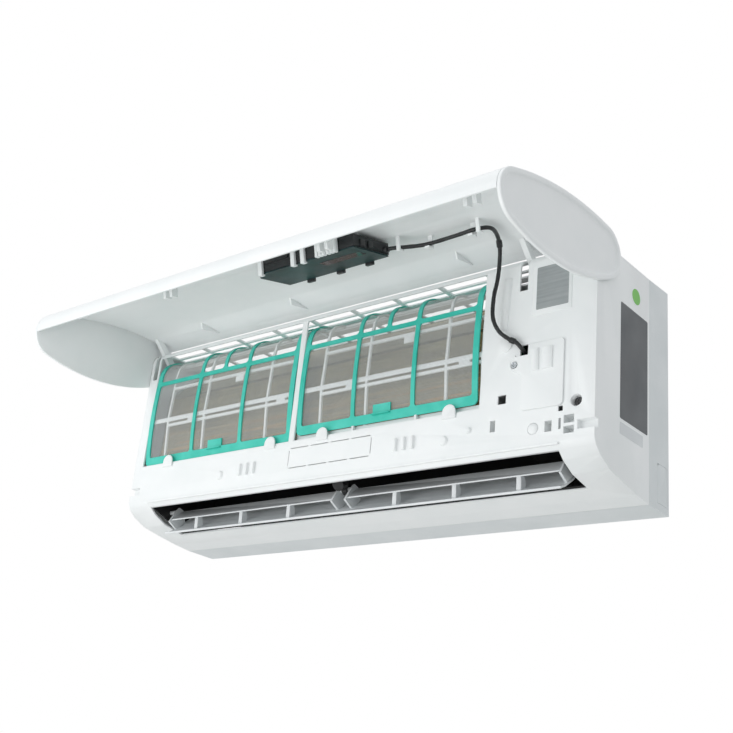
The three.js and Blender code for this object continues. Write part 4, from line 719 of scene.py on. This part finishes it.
def display_lead():
    """The sheathed lead, its radius rippled by a product of two sines, and two bulging bands of tape.

    A band's radius bulges by the square root of 1 less the sixth power of its place across the band.
    """
    path = smooth_path(LEAD_ROUTE, LEAD_RINGS)
    share = np.linspace(0, 1, len(path))
    fast, slow = RIPPLE_RATES
    radius = LEAD_R * (1 + RIPPLE * np.sin(share * fast) * np.sin(share * slow))
    rings = unit(tube_along(path, radius, LEAD_SIDES))
    mesh = outward(grid_mesh("display_lead_sheath", rings, wrap_v=True, capped=True))
    sheath = put("display_lead_sheath", mesh, LEAD_VINYL, None, 60)
    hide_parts("display_lead")
    bands = []
    for n, where in enumerate(LEAD_TIES):
        middle = int(where * (len(path) - 1))
        stretch = path[middle - TAPE_RINGS : middle + TAPE_RINGS + 1]
        across = np.linspace(-1, 1, len(stretch))
        bulge = LEAD_R + TAPE_GAP + TAPE_RISE * np.sqrt(np.clip(1 - across**6, 0, 1))
        name = f"lead_tape_{n + 1}"
        rings = unit(tube_along(stretch, bulge, LEAD_SIDES))
        band = outward(grid_mesh(name, rings, wrap_v=True, capped=True))
        bands.append(put(name, band, LEAD_VINYL, None if n == 0 else "cabinet", 60))
    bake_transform(sheath)
    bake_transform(bands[0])


display_lead()


# ---------------------------------------------------------------- mouldings kept from the solids
MOULDED = [
    # node, finish, edge round in mm
    ("front_frame", WHITE_ABS, 0.45),
    ("rear_casing", CASING_ABS, 0.5),
    ("pipe_cover", CASING_ABS, 0.4),
    ("wiring_cover", WHITE_ABS, 0.5),
    ("front_panel", WHITE_ABS, 0.4),
    ("louver", SHADED_LOUVER_ABS, 0.4),
    ("manual_button", WHITE_ABS, 0.4),
    ("cover_screw", ZINC_SCREW, 0.25),
    ("frame_screw", BLACK_SCREW, 0.3),
    ("louver_support", DUCT_BLACK, 0.5),
    ("display_housing", TRAY_BLACK, 0.5),
    ("display_cover", DISPLAY_TINT, 0.5),
]

# node, finish: solids that keep their own faces, as the vanes and their links do below
DRESSED = [
    ("wall_plate", GALVANISED),
    ("air_duct", DUCT_BLACK),
    ("drain_pan", CASING_ABS),
    ("evaporator_lower", COIL_FINS),
    ("evaporator_upper", COIL_FINS),
    ("evaporator_rear", COIL_FINS),
    ("coil_plate_left", COIL_PLATE),
    ("coil_plate_right", COIL_PLATE),
    ("fan_bearing", DUCT_BLACK),
    ("fan_motor", MOTOR_PAINT),
    ("motor_clamp", CASING_ABS),
    ("control_box", WHITE_ABS),
    ("control_board", BOARD_LACQUER),
    ("terminal_block", DUCT_BLACK),
    ("louver_motor", GALVANISED),
    ("cross_flow_fan", FAN_PLASTIC),
]

for node, finish, round_mm in MOULDED:
    moulded_copy(node, finish, round_mm)
for node, finish in DRESSED:
    dress(node, finish)
for row in frame["record"]["subparts"]:
    if row["node"].startswith("vane_"):
        dress(row["node"], DUCT_BLACK)


# ---------------------------------------------------------------- filters
# Edges of the filters in the unit's millimetres, and the widths of their frames' parts.
FILTERS = {
    "left": {"x0": -366, "x1": -71, "bottom": 98},
    "right": {"x0": -60, "x1": 229, "bottom": 104},
}
BORDER = 8
FOOT = 12
BAR = 6
BAR_AT = 0.62  # share of the frame's height at which its long bar lies
FRAME_THICKNESS = 2.0
FRAME_BANDS = 41  # narrow bands that the curved frame is cut into
NET_DEPTH = 2.5
NET_SAG = 0.2
NET_EDGE = 4  # how far the net lies inside the frame's edge
FRAME_CORNER = 7
LOWER_CORNER = 3.5  # corners of the tall openings
UPPER_CORNER = 4.5  # corners of the short ones
TONGUE = {"half": 14, "rise": 11}
LIP = {"front": 4, "back": 0.6, "low": 3, "high": 1.4, "corner": 1.2}  # finger lip under the foot
FOOT_SNAP = 0.6  # a point of the profile this little below the frame's foot moves up to it
FLAT_RAD = 0.01  # triangles of the flat outline are joined within this angle

# The filters' profile in y and z: two quadratic arcs, up the front and over the coil.
FRONT_ARC = ((-176.5, 96), (-187, 165), (-179.5, 236))
TOP_ARC = ((-179.5, 236), (-178, 273), (-136, 276.5))


def quadratic(a, b, c, t):
    """Quadratic Bezier: (1-t)^2 a + 2t(1-t) b + t^2 c."""
    return (1 - t) ** 2 * np.array(a) + 2 * t * (1 - t) * np.array(b) + t**2 * np.array(c)


def filter_curve(bottom):
    """(y, z) points up the filter's front face and over the coil, with their distances along it."""
    t = np.linspace(0, 1, 60)[:, None]
    line = np.concatenate([quadratic(*FRONT_ARC, t), quadratic(*TOP_ARC, t)[1:]])
    line = line[line[:, 1] >= bottom - FOOT_SNAP]
    line[0, 1] = bottom
    along = np.concatenate([[0], np.cumsum(np.linalg.norm(np.diff(line, axis=0), axis=1))])
    return line, along


def onto_curve(bottom, x, s, depth):
    """Points x along the unit and s up the curve: the curve plus depth times its normal."""
    line, along = filter_curve(bottom)
    tangent = np.gradient(line, axis=0)
    tangent /= np.linalg.norm(tangent, axis=1)[:, None]
    y, z = (np.interp(s, along, line[:, i]) for i in (0, 1))
    ty, tz = (np.interp(s, along, tangent[:, i]) for i in (0, 1))
    return np.stack([x, y + depth * tz, z - depth * ty], -1)


def filter_openings(x0, x1, total):
    """Outlines of the seven openings of a filter frame in (x, s): three tall, four short."""
    third = (x1 - x0) / 3
    middle = (x0 + x1) / 2
    columns = [
        (x0 + BORDER, x0 + third - BAR / 2),
        (x0 + third + BAR / 2, x1 - third - BAR / 2),
        (x1 - third + BAR / 2, x1 - BORDER),
    ]
    bar0 = BAR_AT * total
    lower = [rounded_rectangle(a, b, FOOT, bar0, LOWER_CORNER) for a, b in columns]
    a, b = columns[1]
    half, rise = TONGUE["half"], TONGUE["rise"]
    notch = [
        (middle - half, FOOT),
        (middle - half, FOOT + rise),
        (middle + half, FOOT + rise),
        (middle + half, FOOT),
    ]
    low_side = 3 * CORNER_STEPS  # the outline's lower side comes after three of its corners
    lower[1] = np.concatenate([lower[1][:low_side], notch, lower[1][low_side:]])
    halves = [(a, middle - BAR / 2), (middle + BAR / 2, b)]
    upper = [
        rounded_rectangle(p, q, bar0 + BAR, total - BORDER, UPPER_CORNER)
        for p, q in (columns[0], *halves, columns[2])
    ]
    return lower + upper


def filter_frame(side):
    """A flat outline with openings, cut into narrow bands, laid on the curve and given its thickness.

    The finger lip is a rounded rectangle under the middle of its foot.
    """
    x0, x1, bottom = (FILTERS[side][key] for key in ("x0", "x1", "bottom"))
    total = filter_curve(bottom)[1][-1]
    loops = [rounded_rectangle(x0, x1, 0, total, FRAME_CORNER), *filter_openings(x0, x1, total)]
    flat = np.concatenate(loops)
    triangles = tessellate_polygon([np.insert(loop, 2, 0, axis=1).tolist() for loop in loops])
    mesh = bpy.data.meshes.new(f"filter_{side}_frame_finish")
    mesh.from_pydata(np.insert(flat, 2, 0, axis=1).tolist(), [], [list(t) for t in triangles])
    bm = bmesh.new()
    bm.from_mesh(mesh)
    bmesh.ops.dissolve_limit(bm, angle_limit=FLAT_RAD, verts=bm.verts, edges=bm.edges)
    for level in np.linspace(0, total, FRAME_BANDS + 1)[1:-1]:
        bmesh.ops.bisect_plane(
            bm,
            geom=[*bm.verts, *bm.edges, *bm.faces],
            plane_co=(0, level, 0),
            plane_no=(0, 1, 0),
        )
    bm.to_mesh(mesh)
    bm.free()
    co = np.empty(len(mesh.vertices) * 3)
    mesh.vertices.foreach_get("co", co)
    co = co.reshape(-1, 3)
    mesh.vertices.foreach_set("co", unit(onto_curve(bottom, co[:, 0], co[:, 1], 0.0)).ravel())
    bm = bmesh.new()
    bm.from_mesh(mesh)
    bmesh.ops.recalc_face_normals(bm, faces=bm.faces)
    if sum(f.normal.y * f.calc_area() for f in bm.faces) > 0:
        bmesh.ops.reverse_faces(bm, faces=bm.faces)
    bm.to_mesh(mesh)
    bm.free()
    name = f"filter_{side}_frame"
    piece = put(name + "_finish", mesh, TURQUOISE_PP, "filter_" + side, 50)
    wall = piece.modifiers.new("wall", "SOLIDIFY")
    wall.thickness = FRAME_THICKNESS * MM
    wall.offset = -1
    soften(piece, 0.5, 60)
    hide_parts(name)
    middle = (x0 + x1) / 2
    y, z = onto_curve(bottom, np.array([middle]), np.array([FOOT]), 0.0)[0, 1:]
    half = TONGUE["half"]
    front, back = y - LIP["front"], y + LIP["back"]
    low, high = z - LIP["low"], z - LIP["high"]
    lip = rounded_rectangle(middle - half, middle + half, front, back, LIP["corner"])
    name = f"filter_{side}_finger_lip"
    prism(name, lip, Z, low, high, TURQUOISE_PP, "filter_" + side, "filter_plastic", 0.4)


def filter_net(side):
    """Net behind the frame's bars: the curve set back, sagging by a product of sines in each bay."""
    x0, x1, bottom = (FILTERS[side][key] for key in ("x0", "x1", "bottom"))
    total = filter_curve(bottom)[1][-1]
    x, s = np.meshgrid(
        np.linspace(x0 + NET_EDGE, x1 - NET_EDGE, 121),
        np.linspace(NET_EDGE, total - NET_EDGE, 81),
        indexing="ij",
    )
    share = s / total
    up_bay = np.where(share < BAR_AT, share / BAR_AT, (share - BAR_AT) / (1 - BAR_AT))
    sag = NET_SAG * np.abs(np.sin(math.pi * 3 * (x - x0) / (x1 - x0)) * np.sin(math.pi * up_bay))
    points = unit(onto_curve(bottom, x, s, NET_DEPTH + sag))
    mesh = grid_mesh(f"filter_{side}_net", points)
    piece = put(f"filter_{side}_net", mesh, FILTER_NET, "filter_" + side, 60)
    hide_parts(f"filter_{side}_mesh")


for side in FILTERS:
    filter_frame(side)
    filter_net(side)


# ---------------------------------------------------------------- end caps of the panel
# End circles of the leaf outline: y, z and radius, panel closed; then the radii of its long arcs.
LEAF_TOP = (-156, 256.5, 33)
LEAF_BOTTOM = (-179, 63, 31.5)
LEAF_FRONT_R = 480
LEAF_BACK_R = 309
CAP_X0 = 386  # inner face of the right cap
PIN_R = 3.0
PIN_REACH = 7.0
PIN_TIP = 0.5  # chamfer of the pin's end


def arc_centre(r, side):
    """Centre of the arc of radius r tangent to both end circles, behind (+1) or before (-1) them."""
    a, b = np.array(LEAF_TOP[:2], float), np.array(LEAF_BOTTOM[:2], float)
    ra, rb = r - LEAF_TOP[2], r - LEAF_BOTTOM[2]
    d = np.linalg.norm(b - a)
    along = (ra * ra - rb * rb + d * d) / (2 * d)
    u = (b - a) / d
    return a + along * u + side * math.sqrt(ra * ra - along * along) * np.array([-u[1], u[0]])


def leaf(inset, steps=36):
    """Leaf outline of two end circles joined by two long arcs, all radii less inset."""
    front, back = arc_centre(LEAF_FRONT_R, 1), arc_centre(LEAF_BACK_R, -1)

    def toward(centre, end):
        """Angle at which the middle of an end circle is seen from an arc's centre."""
        return math.atan2(end[1] - centre[1], end[0] - centre[0])

    front_top, front_low = toward(front, LEAF_TOP), toward(front, LEAF_BOTTOM) + 2 * math.pi
    back_top, back_low = toward(back, LEAF_TOP), toward(back, LEAF_BOTTOM)
    arcs = [
        (back, LEAF_BACK_R, back_low, back_top),
        (LEAF_TOP, LEAF_TOP[2], back_top, front_top),
        (front, LEAF_FRONT_R, front_top, front_low),
        (LEAF_BOTTOM, LEAF_BOTTOM[2], front_low, back_low + 2 * math.pi),
    ]
    stretches = []
    for centre, r, start, stop in arcs:
        angle = np.linspace(start, stop, steps, endpoint=False)
        turn = np.stack([np.cos(angle), np.sin(angle)], -1)
        stretches.append(np.array(centre[:2]) + (r - inset) * turn)
    return np.concatenate(stretches)


# inset from the outline and height over the cap's inner face, from the inside round to the dish
CAP_PROFILE = [
    (0.8, 0.0),
    (0.1, 0.5),
    (0.0, 3.2),
    (0.25, 4.2),
    (0.9, 4.8),
    (1.8, 5.0),
    (4.6, 5.0),
    (5.8, 4.7),
    (6.6, 4.0),
    (7.3, 2.9),
    (8.4, 2.2),
    (11.0, 1.9),
    (16.0, 1.8),
]


def end_cap(side):
    """Leaf rings stacked by inset and height: a rounded rim round a shallow dish, and the hinge pin."""
    rings = [np.insert(leaf(inset), X, side * (CAP_X0 + rise), axis=1) for inset, rise in CAP_PROFILE]
    name = "end_cap_right" if side > 0 else "end_cap_left"
    rings = unit(opened(np.stack(rings)))
    mesh = outward(grid_mesh(name + "_finish", rings, wrap_v=True, capped=True))
    piece = put(name + "_finish", mesh, WHITE_ABS, "panel", 50)
    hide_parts(name)
    levels = [
        (PIN_R, CAP_X0 + 0.3),
        (PIN_R, CAP_X0 - PIN_REACH),
        (PIN_R - PIN_TIP, CAP_X0 - PIN_REACH - PIN_TIP),
    ]
    pin = np.stack([np.insert(circle(*HINGE, r), X, side * x, axis=1) for r, x in levels])
    pin_mesh = outward(grid_mesh(name + "_pin", unit(pin), wrap_v=True, capped=True))
    put(name + "_pin", pin_mesh, WHITE_ABS, "panel", 40)


for side in (-1, 1):
    end_cap(side)


# ---------------------------------------------------------------- labels and stickers
FRONT_Y = -181
LABEL_FIELD_Y = FRONT_Y - 0.8  # raised field of the front face under its label
SIDE_X = 385
LABEL_RISE = 0.2

# name, outline, axis it faces along, level it lies on, rise, finish, slot
LABELS = [
    (
        "front_label",
        rounded_rectangle(306.5, 349, 207.3, 262, 1.5),
        Y,
        LABEL_FIELD_Y,
        -LABEL_RISE,
        LABEL_FOIL,
        "white_abs",
    ),
    (
        "side_label",
        rounded_rectangle(-124, -56.5, 82, 226, 2),
        X,
        SIDE_X,
        LABEL_RISE,
        SIDE_LABEL,
        "casing_abs",
    ),
    (
        "side_sticker",
        rounded_rectangle(-124, -68, 63.5, 77.5, 1),
        X,
        SIDE_X,
        LABEL_RISE,
        PALE_LABEL,
        "casing_abs",
    ),
    ("side_disc", circle(-86, 247.5, 10), X, SIDE_X, LABEL_RISE, GREEN_DISC, "casing_abs"),
]

for name, outline, axis, level, rise, finish, slot in LABELS:
    prism(name, outline, axis, level, level + rise, finish, "cabinet", slot, 0)


# ---------------------------------------------------------------- small parts of the panel
COVER_Y = -188.4  # face of the display cover, panel closed
SKIN_Y = -208.5  # inside the panel's skin, which the posts grow from
TAB_X = (21.4, 71.4, 118.0)  # middles of the tabs along the tray's rear edge
TAB_HALF = 6
TAB_Z = (158.8, 164.6)
TAB_Y = (COVER_Y - 2.4, COVER_Y + 3.2)
CATCH_Z = (103, 118)  # lower edges of the catches on the tray's right end
CATCH_TALL = 8
CATCH_X = (149.4, 152.6)
CATCH_Y = (COVER_Y - 12, COVER_Y - 3)
WINDOW = (78, 141, 112, 127)  # x and z ranges of the display's window
WINDOW_Y = (COVER_Y - 0.1, COVER_Y + 0.3)
GRIP_X = (97, 102.4, 107.8, 114.5, 119.9, 125.3)  # middles of the ribs of the two grips
GRIP_HALF = 2.2
GRIP_Z = (84.5, 91.4)
GRIP_Y = (SKIN_Y, COVER_Y + 1.2)


def on_panel(name, outline, y_range, material, slot, round_mm):
    """A prism along Y on the panel, its outline given in x and z with the panel closed."""
    prism(name, outline, Y, *y_range, material, "panel", slot, round_mm)


def display_details():
    """Tabs along the tray's rear edge, catches on its end, its window, and ribbed grips before it."""
    for n, x in enumerate(TAB_X, 1):
        outline = rounded_rectangle(x - TAB_HALF, x + TAB_HALF, *TAB_Z, 1.8)
        on_panel(f"display_tab_{n}", outline, TAB_Y, TRAY_BLACK, "black_plastic", 0.6)
    for n, z in enumerate(CATCH_Z, 1):
        outline = rounded_rectangle(*CATCH_X, z, z + CATCH_TALL, 0.8)
        on_panel(f"display_catch_{n}", outline, CATCH_Y, TRAY_BLACK, "black_plastic", 0.5)
    outline = rounded_rectangle(*WINDOW, 1.5)
    on_panel("display_window", outline, WINDOW_Y, DISPLAY_WINDOW, "display_plastic", 0.1)
    for n, x in enumerate(GRIP_X, 1):
        outline = rounded_rectangle(x - GRIP_HALF, x + GRIP_HALF, *GRIP_Z, 1.6)
        on_panel(f"display_grip_rib_{n}", outline, GRIP_Y, WHITE_ABS, "white_abs", 0.5)


LEAD_CLIPS = [(169, 159), (273.5, 174.5)]  # x and z of the lead at each clip
CLIP_HALF = 2.6
CLIP_REACH = 3.4  # from the lead's middle to the post, and to the toe of the foot
CLIP_POST = 2.4  # thickness of the post
CLIP_FOOT_Y = (-192.4, -190.6)  # the foot lies just under the lead
CLIP_SLOPE = 0.4  # how much thicker the foot is at the post


def lead_clip(number, x, z):
    """A post beside the lead at (x, z) with a foot under it, carried along X."""
    near, far, toe = z - CLIP_REACH - CLIP_POST, z - CLIP_REACH, z + CLIP_REACH
    hook = [
        (SKIN_Y, near),
        (CLIP_FOOT_Y[1], near),
        (CLIP_FOOT_Y[1], toe),
        (CLIP_FOOT_Y[0], toe),
        (CLIP_FOOT_Y[0] - CLIP_SLOPE, far),
        (SKIN_Y, far),
    ]
    name = f"lead_clip_{number}"
    prism(name, hook, X, x - CLIP_HALF, x + CLIP_HALF, WHITE_ABS, "panel", "white_abs", 0.4)


display_details()
for number, (x, z) in enumerate(LEAD_CLIPS, 1):
    lead_clip(number, x, z)


# ---------------------------------------------------------------- pockets behind the frame's holes
# x and z ranges of the holes whose insides are white boxes
POCKETS = [
    ((250.5, 257.5), (64.5, 78.5)),
    ((323, 332), (55, 68)),
    ((340.5, 343.5), (56, 69)),
    ((347, 360), (62, 71.5)),
    ((347, 360), (50, 58.5)),
]
POCKET_WALL = 0.8
POCKET_CORNER = 0.4
POCKET_CORNER_STEPS = 3
POCKET_MOUTH = FRONT_Y + 2.4
POCKET_FLOOR = FRONT_Y + 14


def pocket(number, x, z):
    """An open box: rings from the inner floor out to the mouth and back round to the outer floor."""
    levels = [
        (0, POCKET_FLOOR),
        (0, POCKET_MOUTH),
        (POCKET_WALL, POCKET_MOUTH),
        (POCKET_WALL, POCKET_FLOOR + POCKET_WALL),
    ]
    rings = []
    for grow, y in levels:
        sides = (x[0] - grow, x[1] + grow, z[0] - grow, z[1] + grow)
        ring = rounded_rectangle(*sides, POCKET_CORNER, POCKET_CORNER_STEPS)
        rings.append(np.insert(ring, Y, y, axis=1))
    name = f"frame_pocket_{number}"
    mesh = outward(grid_mesh(name, unit(np.stack(rings)), wrap_v=True, capped=True))
    put(name, mesh, WHITE_ABS, "cabinet")


for number, (x, z) in enumerate(POCKETS, 1):
    pocket(number, x, z)
